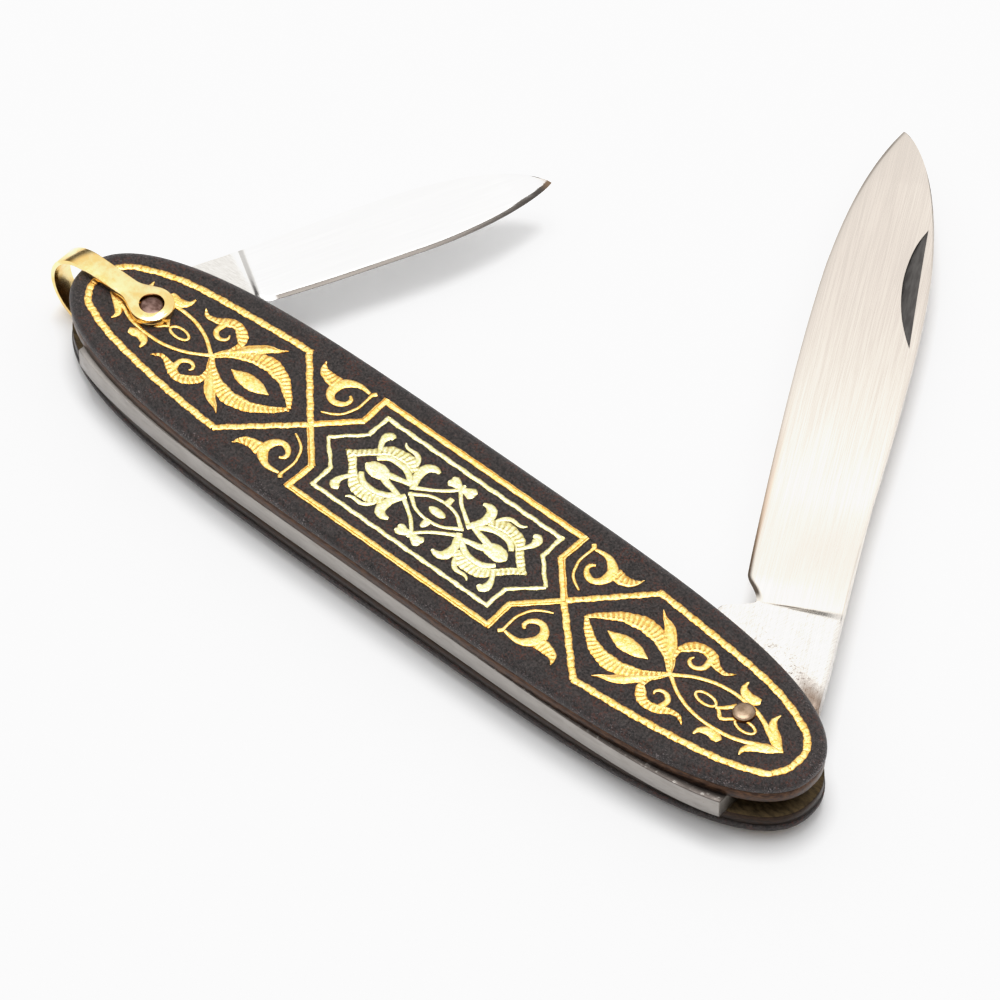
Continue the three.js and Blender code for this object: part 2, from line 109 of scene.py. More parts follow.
def piece(name, verts, faces, body, slot, material, replaced=(), sharp=35, place=None):
    """One visible piece from millimetre vertices. place is its frame, for a piece drawn about its pivot."""
    obj = placed(name, closed_mesh(name, verts, faces))
    if place is not None:
        obj.matrix_world = place
    obj.data.materials.append(material)
    shade(obj, sharp)
    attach(obj, body)
    if replaced:
        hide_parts(*replaced)
    return obj


def shade(obj, sharp):
    """Smooth shading, with a crease wherever two faces meet at more than sharp degrees."""
    mesh = obj.data
    mesh.polygons.foreach_set("use_smooth", [True] * len(mesh.polygons))
    mesh.set_sharp_from_angle(angle=math.radians(sharp))
    mesh.update()


def loft(rings, closed=False):
    """Vertices and faces of a skin over rings of equal length, with flat end caps, or joined when closed."""
    count, total = len(rings[0]), len(rings)
    verts = [tuple(v) for ring in rings for v in ring]
    faces = []
    for k in range(total if closed else total - 1):
        a, b = k * count, (k + 1) % total * count
        for i in range(count):
            j = (i + 1) % count
            faces.append((a + i, a + j, b + j, b + i))
    if not closed:
        faces.append(tuple(reversed(range(count))))
        faces.append(tuple(range((total - 1) * count, total * count)))
    return verts, faces


def circle(centre, radius, z, sides, swell=lambda angle: 1):
    """A ring of points about centre. swell changes the radius with the angle."""
    ring = []
    for angle in (2 * math.pi * i / sides for i in range(sides)):
        reach = radius * swell(angle)
        ring.append((centre[0] + reach * math.cos(angle), centre[1] + reach * math.sin(angle), z))
    return ring


def lathe(centre, profile, sides=64):
    """A closed turned piece about a Z axis through centre. profile is a closed loop of (radius, z)."""
    return loft([circle(centre, radius, z, sides) for radius, z in profile], closed=True)


def rod(centre, radius, low, high, sides=64):
    return loft([circle(centre, radius, z, sides) for z in (low, high)])


def cut(obj, tool_verts, tool_faces, place=None, sharp=35, material=None):
    """Cuts a closed tool out of a piece and keeps the result. material is that of the cut walls."""
    mesh = closed_mesh("tool", tool_verts, tool_faces)
    mesh.materials.append(material or obj.data.materials[0])
    tool = placed("tool", mesh)
    tool.matrix_world = place if place is not None else Matrix.Identity(4)
    boolean = obj.modifiers.new("cut", "BOOLEAN")
    boolean.object, boolean.operation, boolean.solver = tool, "DIFFERENCE", "EXACT"
    boolean.material_mode = "TRANSFER"
    graph = bpy.context.evaluated_depsgraph_get()
    result = bpy.data.meshes.new_from_object(obj.evaluated_get(graph))
    obj.modifiers.clear()
    obj.data = result
    bpy.data.objects.remove(tool)
    shade(obj, sharp)


def smooth(points, step):
    """A Catmull-Rom curve through points of any dimension, sampled about every step of plan length."""
    points = [np.array(p, float) for p in points]
    if len(points) == 2:
        count = max(2, int(np.linalg.norm((points[1] - points[0])[:2]) / step))
        return [points[0] + (points[1] - points[0]) * t for t in np.linspace(0, 1, count + 1)]
    padded = [2 * points[0] - points[1], *points, 2 * points[-1] - points[-2]]
    out = []
    for a, b, c, d in zip(padded, padded[1:], padded[2:], padded[3:]):
        count = max(2, int(np.linalg.norm((c - b)[:2]) / step))
        for t in np.arange(count) / count:
            out.append(0.5 * (2 * b + (c - a) * t + (2 * a - 5 * b + 4 * c - d) * t**2
                              + (3 * b - a - 3 * c + d) * t**3))
    return [*out, points[-1]]


# ---- materials ----


class Nodes:
    """Makes and feeds the nodes of a tree."""

    def __init__(self, tree):
        self.tree = tree

    def node(self, kind, inputs=(), **settings):
        made = self.tree.nodes.new("ShaderNode" + kind)
        for key, value in settings.items():
            setattr(made, key, value)
        for key, value in dict(inputs).items():
            self.feed(made.inputs[key], value)
        return made

    def feed(self, socket, value):
        if isinstance(value, bpy.types.NodeSocket):
            self.tree.links.new(value, socket)
        else:
            socket.default_value = value

    def span(self, value, low, high, to_low=0.0, to_high=1.0):
        """value mapped from low..high to to_low..to_high, and clamped."""
        return self.node("MapRange", {"Value": value, "From Min": low, "From Max": high, "To Min": to_low,
                                      "To Max": to_high}, interpolation_type="SMOOTHSTEP").outputs[0]


class Shader(Nodes):
    """A Principled material whose nodes work in object coordinates measured in millimetres."""

    def __init__(self, name, **constants):
        self.material = bpy.data.materials.new(name)
        self.material.use_nodes = True
        super().__init__(self.material.node_tree)
        self.bsdf = self.tree.nodes["Principled BSDF"]
        for socket, value in constants.items():
            self.bsdf.inputs[socket.replace("_", " ")].default_value = value
        coordinates = self.tree.nodes.new("ShaderNodeTexCoord")
        self.place = self.node("VectorMath", {0: coordinates.outputs["Object"], 1: (1 / MM,) * 3},
                               operation="MULTIPLY").outputs[0]
        axes = self.node("SeparateXYZ", {0: self.place})
        self.x, self.y, self.z = axes.outputs
        normal = self.node("SeparateXYZ", {0: coordinates.outputs["Normal"]})
        self.flat = self.maths("ABSOLUTE", normal.outputs[2])  # 1 where the surface faces along Z

    def noise(self, scale, detail=4.0, roughness=0.6, stretch=(1, 1, 1), turn=0.0, shift=0.0):
        """Noise with scale features to the millimetre, stretched along its own turned axes."""
        turned = self.node("Mapping", {"Vector": self.place, "Rotation": (0, 0, math.radians(turn))})
        spread = self.node("Mapping", {"Vector": turned.outputs[0], "Scale": stretch, "Location": (shift,) * 3})
        made = self.node("TexNoise", {"Vector": spread.outputs[0], "Scale": scale, "Detail": detail,
                                      "Roughness": roughness})
        return made.outputs["Fac"]

    def maths(self, operation, a, b=0.0):
        return self.node("Math", {0: a, 1: b}, operation=operation).outputs[0]

    def times(self, first, *others):
        """The product of all the values."""
        for other in others:
            first = self.maths("MULTIPLY", first, other)
        return first

    def apart(self, a, b):
        """How far two values are apart."""
        return self.maths("ABSOLUTE", self.maths("SUBTRACT", a, b))

    def blend(self, share, a, b):
        """Colour a where share is 0 and colour b where it is 1."""
        made = self.node("Mix", data_type="RGBA")
        for index, value in ((0, share), (6, a), (7, b)):
            self.feed(made.inputs[index], (*value, 1) if isinstance(value, tuple) else value)
        return made.outputs[2]

    def relief(self, height, distance, strength=1.0):
        """Bump from a height of 0..1 that stands for distance in millimetres."""
        bump = self.node("Bump", {"Height": height, "Distance": distance * MM, "Strength": strength})
        self.tree.links.new(bump.outputs[0], self.bsdf.inputs["Normal"])

    def finish(self, colour, roughness):
        self.feed(self.bsdf.inputs["Base Color"], (*colour, 1) if isinstance(colour, tuple) else colour)
        self.feed(self.bsdf.inputs["Roughness"], roughness)
        return self.material


def black_steel():
    """Blackened steel: a pebbled grain with rust in it, with bright wear specks on the rounded rim, dimmed on
    the back cover as painted shade.
    """
    s = Shader("blackened_steel", Specular_IOR_Level=0.32)
    grain = s.noise(4.4, detail=6, roughness=0.75)
    black = s.blend(s.span(grain, 0.38, 0.66), (0.004, 0.003, 0.003), (0.058, 0.046, 0.043))
    rust = s.times(s.span(s.noise(0.7, shift=5), 0.44, 0.62), s.span(s.noise(4.8, shift=9), 0.48, 0.62), 0.75)
    black = s.blend(rust, black, (0.090, 0.026, 0.015))
    side_wall = s.span(s.apart(s.z, MIDDLE), FACE_HEIGHT - 0.6, FACE_HEIGHT - 0.01, 1.0, 0.0)
    along = s.maths("POWER", s.maths("DIVIDE", s.apart(s.x, 0.0), OUTLINE["half_length"]), OUTLINE["along"])
    across = s.maths("DIVIDE", s.apart(s.y, OUTLINE["centre_y"]), OUTLINE["half_width"])
    across = s.maths("POWER", across, OUTLINE["across"])
    rim = s.maths("MAXIMUM", side_wall, s.span(s.maths("ADD", along, across), 0.62, 0.92, 0.0, 0.55))
    specks = s.span(s.noise(6.5, detail=6, roughness=0.75, shift=3), 0.55, 0.62)
    patches = s.span(s.noise(0.30, shift=7), 0.36, 0.58, 0.1, 1.0)
    # bright wear specks on the rim, cut to 0.3 below the middle: painted shade on the back cover's side
    rim_wear_and_painted_shade = s.times(rim, specks, patches, s.span(s.z, MIDDLE - 2.6, MIDDLE, 0.3, 1.0))
    dust = s.span(s.noise(3.6, detail=7, roughness=0.85, shift=21), 0.655, 0.70, 0.0, 0.8)
    colour = s.blend(s.maths("MAXIMUM", rim_wear_and_painted_shade, dust), black, (0.42, 0.35, 0.35))
    s.relief(s.maths("ADD", grain, s.times(specks, 0.4)), 0.12, 1.0)
    return s.finish(colour, s.span(grain, 0.3, 0.7, 0.34, 0.58))


def inlay_gold(name, deep, bright, groove_shade):
    """Hammered gold: brighter on the crowns, and painted a darker orange as shade in the engraved lines and
    along the low edges of each stroke.
    """
    s = Shader(name, Metallic=1.0)
    rise = s.maths("SUBTRACT", s.apart(s.z, MIDDLE), FACE_HEIGHT)
    crown = s.span(rise, INLAY_RISE * 0.15, INLAY_RISE * 0.85)
    hammered = s.noise(3.2, detail=4, roughness=0.65)
    colour = s.blend(s.span(hammered, 0.36, 0.64), deep, bright)
    # painted shade: the low parts of each stroke, in its engraved lines and along its edges, take the darker
    # groove colour
    colour = s.blend(crown, groove_shade, colour)
    s.relief(hammered, 0.05, 0.9)
    return s.finish(colour, s.span(s.noise(6.0, shift=4), 0.3, 0.7, 0.24, 0.44))


def steel(name, colour, across, roughness, scratch, speck=0.0):
    """A satin steel's shader, tone and roughness. across stretches its brushed lines along x and y."""
    s = Shader(name, Metallic=1.0)
    lines = s.noise(1.4, detail=4, roughness=0.6, stretch=(*across, 1.0))
    cloud = s.noise(0.22, detail=2, shift=2, stretch=(*(0.25 if a < 1 else 1.0 for a in across), 1.0))
    dark = tuple(c * 0.93 for c in colour)
    mottle = s.maths("ADD", s.times(lines, scratch), s.times(cloud, 1 - scratch))
    tone = s.blend(s.span(mottle, 0.34, 0.62), dark, colour)
    if speck:
        pits = s.span(s.noise(3.2, detail=5, roughness=0.7, shift=31), 0.64, 0.70, 0.0, speck)
        tone = s.blend(pits, tone, (0.16, 0.12, 0.09))
    s.relief(lines, 0.008, 0.15)
    return s, tone, s.span(lines, 0.3, 0.7, roughness * 0.8, roughness * 1.25)


# ---- covers, liners and spring ----

OUTLINE = {"half_length": 41.6, "half_width": 8.4, "centre_y": 0.37, "along": 3.9, "across": 2.3}
COVER_RUN, COVER_RISE = 1.0, 0.8  # the rounding of a cover's rim
COVER_BEVEL = 0.14
LINER_INSET = 0.1
EDGE_POINTS = 260


def handle_outline(inset):
    """The handle's outline, a superellipse, drawn in by inset."""
    outline = []
    for i in range(EDGE_POINTS):
        c, s = math.cos(2 * math.pi * i / EDGE_POINTS), math.sin(2 * math.pi * i / EDGE_POINTS)
        x = (OUTLINE["half_length"] - inset) * math.copysign(abs(c) ** (2 / OUTLINE["along"]), c)
        y = (OUTLINE["half_width"] - inset) * math.copysign(abs(s) ** (2 / OUTLINE["across"]), s)
        outline.append((x, OUTLINE["centre_y"] + y))
    return outline


def handle_width(x, inset):
    """Half the width of the handle's outline at x, drawn in by inset."""
    left = max(0.0, 1 - abs(x / (OUTLINE["half_length"] - inset)) ** OUTLINE["along"])
    return (OUTLINE["half_width"] - inset) * left ** (1 / OUTLINE["across"])


def facing(side, z):
    """A height above the middle of the handle, measured on the front, as it is on that side."""
    return z if side == "front" else 2 * MIDDLE - z


def make_cover(side, material):
    inner, outer = FRONT_INNER, FRONT_FACE
    steps = [(COVER_BEVEL, inner), (0.0, inner + COVER_BEVEL), (0.0, outer - COVER_RISE)]
    for k in range(1, 10):
        angle = math.radians(10 * k)
        steps.append((COVER_RUN * (1 - math.cos(angle)), outer - COVER_RISE * (1 - math.sin(angle))))
    steps.append((COVER_RUN + 0.5, outer))
    rings = [[(x, y, facing(side, z)) for x, y in handle_outline(inset)] for inset, z in steps]
    piece(f"{side}_cover_shell", *loft(rings), HANDLE, "black_steel", material, [f"{side}_cover"], sharp=60)


def make_liner(side, material):
    low, high = heights("front_liner")
    bevel = 0.06
    steps = [(bevel, low), (0, low + bevel), (0, high - bevel), (bevel, high)]
    rings = [[(x, y, facing(side, z)) for x, y in handle_outline(LINER_INSET + inset)] for inset, z in steps]
    piece(f"{side}_liner_plate", *loft(rings), HANDLE, "brass", material, [f"{side}_liner"], sharp=50)


SPRING = {
    "ends": (-36.6, 36.8),
    "proud": (0.59, 0.89),  # how far each end stands out of the handle while its blade is part-open
    "inner": (-3.7, -3.45),  # y of the inner side at each end
    "middle": -4.9,  # and between them
    "deep_run": 14.5,  # length of each deep end
    "ramp": 5.0,
    "bevel": 0.07,
}


def make_spring(material):
    (left, right), (left_in, right_in) = SPRING["ends"], SPRING["inner"]
    outer = []
    for x in np.linspace(left, right, 90):
        proud = SPRING["proud"][0] * (x / left) ** 3 if x < 0 else SPRING["proud"][1] * (x / right) ** 3
        outer.append((x, OUTLINE["centre_y"] - handle_width(x, LINER_INSET) - proud))
    run, ramp = SPRING["deep_run"], SPRING["ramp"]
    inner = [(right, right_in), (right - run, right_in), (right - run - ramp, SPRING["middle"]),
             (left + run + ramp, SPRING["middle"]), (left + run, left_in), (left, left_in)]
    verts, faces = bevelled_plate([*outer, *inner], SLOT_LOW, SLOT_HIGH, SPRING["bevel"])
    piece("back_spring", verts, faces, HANDLE, "spring_steel", material, ["backspring"], sharp=40)


def bevelled_plate(outline, low, high, bevel):
    """A flat plate with small rounded edges."""
    build = bmesh.new()
    bottom = build.faces.new([build.verts.new((x * MM, y * MM, low * MM)) for x, y in outline])
    made = bmesh.ops.extrude_face_region(build, geom=[bottom])["geom"]
    top = [v for v in made if isinstance(v, bmesh.types.BMVert)]
    bmesh.ops.translate(build, verts=top, vec=(0, 0, (high - low) * MM))
    bmesh.ops.recalc_face_normals(build, faces=build.faces)
    rims = [e for e in build.edges if abs(e.verts[0].co.z - e.verts[1].co.z) < 1e-9]
    bmesh.ops.bevel(build, geom=rims, offset=bevel * MM, segments=2, profile=0.5, affect="EDGES")
    build.verts.index_update()
    verts = [tuple(v.co / MM) for v in build.verts]
    faces = [tuple(v.index for v in f.verts) for f in build.faces]
    build.free()
    return verts, faces


# ---- blades ----
# A blade is drawn in its own frame: the pivot is the origin, +X points to the tip and v runs to the spine.


def on_curve(hull, t):
    """The point at t of the Bezier curve with these control points."""
    while len(hull) > 1:
        hull = [a * (1 - t) + b * t for a, b in zip(hull, hull[1:])]
    return hull[0]


def outline_height(*path):
    """v as a function of u along one side of a blade. The path runs straight from point to point, and along a
    curve where it has a list, of control points and the curve's end."""
    line = [np.array(path[0], float)]
    for step in path[1:]:
        if isinstance(step, tuple):
            line.append(np.array(step, float))
        else:
            hull = [line[-1], *(np.array(p, float) for p in step)]
            line += [on_curve(hull, t) for t in np.linspace(0, 1, 25)[1:]]
    us, vs = np.array(line).T
    return lambda u: float(np.interp(u, us, vs))


def make_blade(name, node, body, pivot, rest, side, low, high, stations, skin, bore, material):
    """A blade skinned over its stations. low and high are its outline. skin is its (lowest, highest) z at
    (u, v, distance from the low side, distance from the high side). side is the way v runs in the frame."""
    shares = [0, 0.015, 0.05, 0.1, 0.2, 0.32, 0.45, 0.58, 0.7, 0.82, 0.92, 0.985, 1]
    rings = []
    for u in stations:
        v0, v1 = low(u), high(u)
        under, over = [], []
        for share in shares:
            v = v0 + (v1 - v0) * share
            z0, z1 = skin(u, v, v - v0, v1 - v)
            under.append((u, side * v, z0))
            over.append((u, side * v, z1))
        rings.append([*under, *reversed(over)])
    verts, faces = loft(rings)
    turned = Matrix.Rotation(math.radians(rest), 4, "Z")
    place = Matrix.Translation((pivot[0] * MM, pivot[1] * MM, 0)) @ turned
    blade = piece(name, verts, faces, body, "blade_steel", material, [node], sharp=24, place=place)
    cut(blade, *rod((0, 0), bore, -2, 10), place=place, sharp=24)
    return blade, place


def ease(value, low, high):
    t = min(1.0, max(0.0, (value - low) / (high - low)))
    return t * t * (3 - 2 * t)


SIDE_GAP = 0.06
TANG = (SLOT_LOW + SIDE_GAP, SLOT_HIGH - SIDE_GAP)
HALF_LAYER, LAYER_GAP = 0.9, 0.08
LOWER = (MIDDLE - LAYER_GAP - HALF_LAYER, MIDDLE - LAYER_GAP)
UPPER = (MIDDLE + LAYER_GAP, MIDDLE + LAYER_GAP + HALF_LAYER)
EDGE_HALF = 0.03  # half the thickness of a cutting edge
EDGE_BEVEL = 0.3  # width of the whetted bevel
BEVEL_HALF = 0.10  # half the thickness of the blade behind it


def rounded(z0, z1, from_low, from_high, radius):
    """Draws the two faces together near both outline edges, for small rounded corners."""
    near = min(from_low, from_high)
    radius = min(radius, (z1 - z0) * 0.3)
    pull = radius * (1 - math.sqrt(max(0.0, 1 - (1 - min(near / radius, 1.0)) ** 2)))
    return z0 + pull, z1 - pull


def ground(layer, v_from_edge, width, full_width):
    """The faces of a ground blade, v_from_edge in from the cutting edge. It thins towards the point too."""
    middle, half = (layer[0] + layer[1]) / 2, (layer[1] - layer[0]) / 2
    share = min(1.0, v_from_edge / max(width, 0.6 * full_width))
    body = BEVEL_HALF + (half - BEVEL_HALF) * share**0.85
    if v_from_edge < EDGE_BEVEL:
        body = EDGE_HALF + (body - EDGE_HALF) * v_from_edge / EDGE_BEVEL
    return middle - body, middle + body


MAIN_LOW = outline_height(
    (-3.6, -1.9), [(-3.25, -3.15), (-2.65, -3.35), (-1.9, -3.6)], (6.5, -3.6), (9.5, -4.75), (11.9, -4.75),
    [(12.35, -4.75), (12.98, -4.55), (13.08, -3.5)], (13.3, -2.6), (13.52, -2.0),
    [(13.65, -1.57), (14.3, -1.64), (14.9, -1.84)], [(16.07, -2.23), (16.42, -2.91), (17.3, -3.06)],
    [(18.67, -3.22), (41.54, -4.05), (53.6, -3.27)], [(55.7, -3.03), (64.0, -2.63), (70.1, 0.5)])
MAIN_HIGH = outline_height(
    (-3.6, 1.9), [(-3.25, 3.15), (-2.65, 3.35), (-1.9, 3.6)], (3.25, 3.6), (3.4, 3.7), (3.5, 5.45),
    (3.75, 5.72), [(12, 5.9), (13, 5.65), (27, 5.86)], [(33.7, 6.14), (47.8, 6.89), (55.5, 5.86)],
    [(65.9, 4.45), (69.7, 1.46), (70.1, 0.5)])
MAIN_BORE, MAIN_FULL_WIDTH = 1.06, 9.6
MAIN_RAMP = ((13.9, -0.08), (14.35, -0.04))  # the tang's step down to the blade: u at RAMP_FOOT, and the lean
RAMP_FOOT = -1.87
MAIN_TAPER = (14.5, 27.0)  # where the blade thins from the tang to its own layer


def main_skin(u, v, from_low, from_high):
    (start, start_lean), (end, end_lean) = MAIN_RAMP
    start += start_lean * (v - RAMP_FOOT)
    end = max(end + end_lean * (v - RAMP_FOOT), start + 0.25)
    thin = ease(u, *MAIN_TAPER)
    layer = (LOWER[0], (TANG[1] - 0.1) * (1 - thin) + LOWER[1] * thin)
    tang = rounded(*TANG, from_low, from_high, 0.06)
    blade = rounded(*ground(layer, from_low, from_low + from_high, MAIN_FULL_WIDTH), 1, from_high, 0.06)
    share = min(1.0, max(0.0, (u - start) / (end - start)))
    return tuple(a * (1 - share) + b * share for a, b in zip(tang, blade))


PEN_LOW = outline_height(
    (-3.4, -1.8), [(-3.2, -2.19), (-3.26, -2.98), (-1.8, -3.4)], (2.3, -3.4), (5.3, -3.7), (7.8, -3.7),
    [(8.83, -3.61), (8.75, -3.01), (8.85, -2.8)], (9.2, -1.4), (9.6, -0.32),
    [(10.0, -0.2), (10.15, -1.15), (10.8, -1.2)], [(15.4, -1.62), (22.7, -1.65), (25.6, -1.72)],
    [(33.6, -1.72), (38.0, 0.1), (38.85, 0.75)])
PEN_HIGH = outline_height(
    (-3.4, 1.8), [(-3.2, 2.19), (-3.26, 2.98), (-1.8, 3.4)], (3.1, 3.4), (3.25, 3.6), (3.35, 5.0),
    (3.6, 5.12), (7, 5.15), [(12, 4.85), (16, 5.28), (23.5, 5.17)], [(32.5, 5.24), (37.7, 2.66), (38.85, 0.75)])
PEN_BORE, PEN_FULL_WIDTH = 1.1, 6.8
PEN_PLUNGE = (9.6, 0.13)  # where the tang drops to the blade: u at PLUNGE_FOOT, and the lean
PLUNGE_FOOT, PLUNGE_RUN = -0.3, 0.45
PEN_HUB = 2.7


def pen_skin(u, v, from_low, from_high):
    plunge = PEN_PLUNGE[0] + (v - PLUNGE_FOOT) * PEN_PLUNGE[1]
    tang = rounded(UPPER[0], TANG[1], from_low, from_high, 0.12)
    blade = rounded(*ground(UPPER, from_low, from_low + from_high, PEN_FULL_WIDTH), 1, from_high, 0.10)
    share = min(1.0, max(0.0, (u - plunge) / PLUNGE_RUN))
    return tuple(a * (1 - share) + b * share for a, b in zip(tang, blade))


def make_blades(main_material, pen_material, nick_shade_material):
    main_stations = np.concatenate([
        np.linspace(-3.6, -1.9, 8)[:-1], np.linspace(-1.9, 3.2, 5)[:-1],
        [3.2, 3.25, 3.4, 3.45, 3.5, 3.6, 3.75], np.linspace(4.5, 11.5, 8), np.linspace(11.9, 18.5, 56),
        np.linspace(19, 27, 14), np.linspace(28, 60, 40), np.linspace(60.6, 69.6, 26),
        [69.85, 70.0, 70.07, 70.1]])
    blade, place = make_blade("main_blade_steel", "main_blade", MAIN, MAIN_PIVOT, MAIN_REST, -1, MAIN_LOW,
                              MAIN_HIGH, main_stations, main_skin, MAIN_BORE, main_material)
    nick = nail_nick([(44.7, 5.8), (46.4, 5.05), (48.4, 4.37), (50.7, 3.9), (53.0, 3.72), (55.4, 3.88),
                      (57.2, 4.25), (58.9, 4.9)], LOWER[1], 0.45, -1)
    cut(blade, *nick, place=place, sharp=24, material=nick_shade_material)
    pen_stations = np.concatenate([
        np.linspace(-3.4, -1.8, 8)[:-1], np.linspace(-1.8, 3.0, 5)[:-1], [3.1, 3.25, 3.3, 3.35, 3.45, 3.6],
        np.linspace(4.2, 7.4, 5), np.linspace(7.8, 12.9, 44), np.linspace(13.6, 33, 30),
        np.linspace(33.6, 38.5, 20), [38.65, 38.78, 38.85]])
    blade, place = make_blade("pen_blade_steel", "pen_blade", PEN, PEN_PIVOT, PEN_REST, 1, PEN_LOW, PEN_HIGH,
                              pen_stations, pen_skin, PEN_BORE, pen_material)
    nick = nail_nick([(24.0, 4.75), (25.0, 4.15), (26.8, 3.65), (28.8, 3.5), (30.6, 3.6), (31.9, 4.0)],
                     UPPER[0], -0.4, 1)
    cut(blade, *nick, place=place, sharp=24, material=nick_shade_material)
    hub = lathe(PEN_PIVOT, [(PEN_BORE, TANG[0]), (PEN_HUB - 0.05, TANG[0]), (PEN_HUB, TANG[0] + 0.05),
                            (PEN_HUB, UPPER[0] + 0.01), (PEN_BORE, UPPER[0] + 0.01)])
    piece("pen_blade_hub", *hub, PEN, "blade_steel", pen_material)


def nail_nick(arc, face, depth, side):
    """A half-moon cutter, walled along the arc. Its bottom is depth below face and rises to the chord."""
    plan = smooth(arc, 0.25)
    (u0, v0), (u1, v1) = arc[0], arc[-1]
    inside = [v0 + (v1 - v0) * (u - u0) / (u1 - u0) - v for u, v in plan]
    bottom = [(u, side * v, face - depth * inset / max(inside)) for (u, v), inset in zip(plan, inside)]
    top = [(u, side * v, face + depth * 2) for u, v in plan]
    return loft([bottom, top])


# ---- pins, washers and bail ----

MAIN_PIN_RADIUS, PEN_PIN_RADIUS = 1.0, 1.05
WASHER_RADIUS = 1.95
BAIL_EYE, BAIL_STRAP, BAIL_HOLE = 2.0, 1.05, 1.13
BAIL_THICK = 0.48


def uneven_rod(centre, profile, wobble, sides=48):
    """A turned pin whose ends were hammered over, so that its rim is a little out of round."""
    phase = random.uniform(0, 6)

    def swell(angle):
        return 1 + wobble * (math.sin(2 * angle + phase) + 0.6 * math.sin(5 * angle + 2 * phase))

    return loft([circle(centre, radius, z, sides, swell) for radius, z in profile])


def pin_profile(radius, low, high, round_over, dome):
    """Radius and height of a pin's rings from its lower end to its upper end."""
    end = [(0.02, dome), (0.45, dome * 0.85), (0.8, dome * 0.3), (1 - round_over, 0),
           (1 - round_over * 0.3, -0.06), (1, -0.16)]
    lower = [(radius * r, low + dome - z) for r, z in end]
    upper = [(radius * r, high - dome + z) for r, z in reversed(end)]
    return [*lower, *upper]


def make_pins(material, brown):
    profile = pin_profile(MAIN_PIN_RADIUS, *heights("main_pivot_pin"), 0.16, 0.07)
    piece("main_pin", *uneven_rod(MAIN_PIVOT, profile, 0.012), HANDLE, "pin_steel", material,
          ["main_pivot_pin"])
    profile = pin_profile(PEN_PIN_RADIUS, *heights("pen_pivot_pin"), 0.12, 0.04)
    piece("pen_pin", *uneven_rod(PEN_PIVOT, profile, 0.006), HANDLE, "pin_steel", brown, ["pen_pivot_pin"])
    frame["nodes"]["spring_pin"].data.materials.clear()
    frame["nodes"]["spring_pin"].data.materials.append(material)


def make_washers(material):
    for side in ("front", "back"):
        low, high = heights(f"{side}_bail_washer")
        hole, bevel = BAIL_HOLE, 0.06
        profile = [(hole, low), (WASHER_RADIUS - bevel, low), (WASHER_RADIUS, low + bevel),
                   (WASHER_RADIUS, high - bevel), (WASHER_RADIUS - bevel, high), (hole, high)]
        piece(f"{side}_washer", *lathe(PEN_PIVOT, profile, 72), HANDLE, "gilt", material,
              [f"{side}_bail_washer"])


def make_bail(material):
    """A strap with an eye at each end, bent into a U round the end of the handle."""
    low, high = heights("bail")
    reach = PEN_PIVOT[0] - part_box("bail")[0].x / MM
    outer = (high - low) / 2
    radius = outer - BAIL_THICK / 2
    straight = reach - outer
    bend = math.pi * radius
    total = 2 * straight + bend
    tip = (-BAIL_EYE * math.cos(a) for a in np.linspace(0.06, math.pi / 2, 20))
    eye = [*tip, *np.linspace(0.15, 3.4, 22)]
    stations = [*eye, *np.linspace(3.9, total - 3.9, 60), *(total - s for s in reversed(eye))]
    half_thick, edge = BAIL_THICK / 2, 0.10
    rings = []
    for s in stations:
        from_eye = min(s, total - s)
        width = BAIL_STRAP
        if from_eye < BAIL_EYE:
            circle = math.sqrt(max(0.0, BAIL_EYE**2 - from_eye**2))
            width = circle if from_eye < 0 else max(circle, width)
        if 0.9 < from_eye < 3.0:
            width = max(width, BAIL_STRAP + 0.62 * (1 - ease(from_eye, 0.9, 3.0)) ** 1.5)
        ring = []
        lip = min(edge, width * 0.4)
        corner = [(width, half_thick - edge), (width - lip * 0.3, half_thick - edge * 0.3),
                  (width - lip, half_thick)]
        section = [*((-a, -b) for a, b in corner), *((a, -b) for a, b in reversed(corner)),
                   *corner, *((-a, b) for a, b in reversed(corner))]
        for across, out in section:
            if s < straight:
                x, z = -s, radius + out
            elif s > straight + bend:
                x, z = -(total - s), -radius - out
            else:
                angle = (s - straight) / radius
                x = -straight - (radius + out) * math.sin(angle)
                z = (radius + out) * math.cos(angle)
            ring.append((PEN_PIVOT[0] + x, PEN_PIVOT[1] + across, (low + high) / 2 + z))
        rings.append(ring)
    bail = piece("bail_strap", *loft(rings), BAIL, "gilt", material, ["bail"], sharp=40)
    cut(bail, *rod(PEN_PIVOT, BAIL_HOLE, low - 1, high + 1, 96), sharp=40)


# ---- gold ornament ----
# A stroke is (style, [(x, y, width), ...]), in millimetres from the middle of the cover. All but BUDS and OVAL
# are drawn for x > 0 and mirrored to x < 0. BORDER, PANEL, CORNER, END and CENTRE are mirrored to y < 0 too.


def oval(x, y, half_x, half_y, width):
    """A closed ring as one stroke."""
    return ("plain", [(x + half_x * math.cos(a), y + half_y * math.sin(a), width)
                      for a in np.linspace(0, 2 * math.pi, 13)])


BORDER = [
    ("band", [(0, 6.2, 0.58), (11.45, 6.2, 0.58)]),
    ("band", [(11.4, 6.45, 0.58), (11.3, 3.25, 0.58)]),
    ("band", [(11.25, 3.35, 0.58), (14.5, 0, 0.58)]),
]
MEDALLION_TOP = [
    ("notch", [(14.45, 0, 0.56), (20.05, 5.95, 0.56)]),
    ("notch", [(19.8, 6, 0.6), (22.1, 5.9, 0.6), (31.1, 5.1, 0.6), (35.2, 4.3, 0.6), (38.4, 3, 0.6),
               (39.5, 2, 0.58), (40, 1, 0.58), (40.05, 0, 0.58)]),
]
MEDALLION_LOW = [
    ("notch", [(14.45, 0, 0.56), (20.55, -5.8, 0.56)]),
    ("notch", [(40.05, 0.05, 0.58), (39.95, -0.85, 0.58), (39.45, -1.9, 0.58), (38.5, -2.75, 0.6),
               (35.1, -3.95, 0.6), (30.4, -4.8, 0.6), (25.8, -5.35, 0.6), (20.5, -5.75, 0.6)]),
]
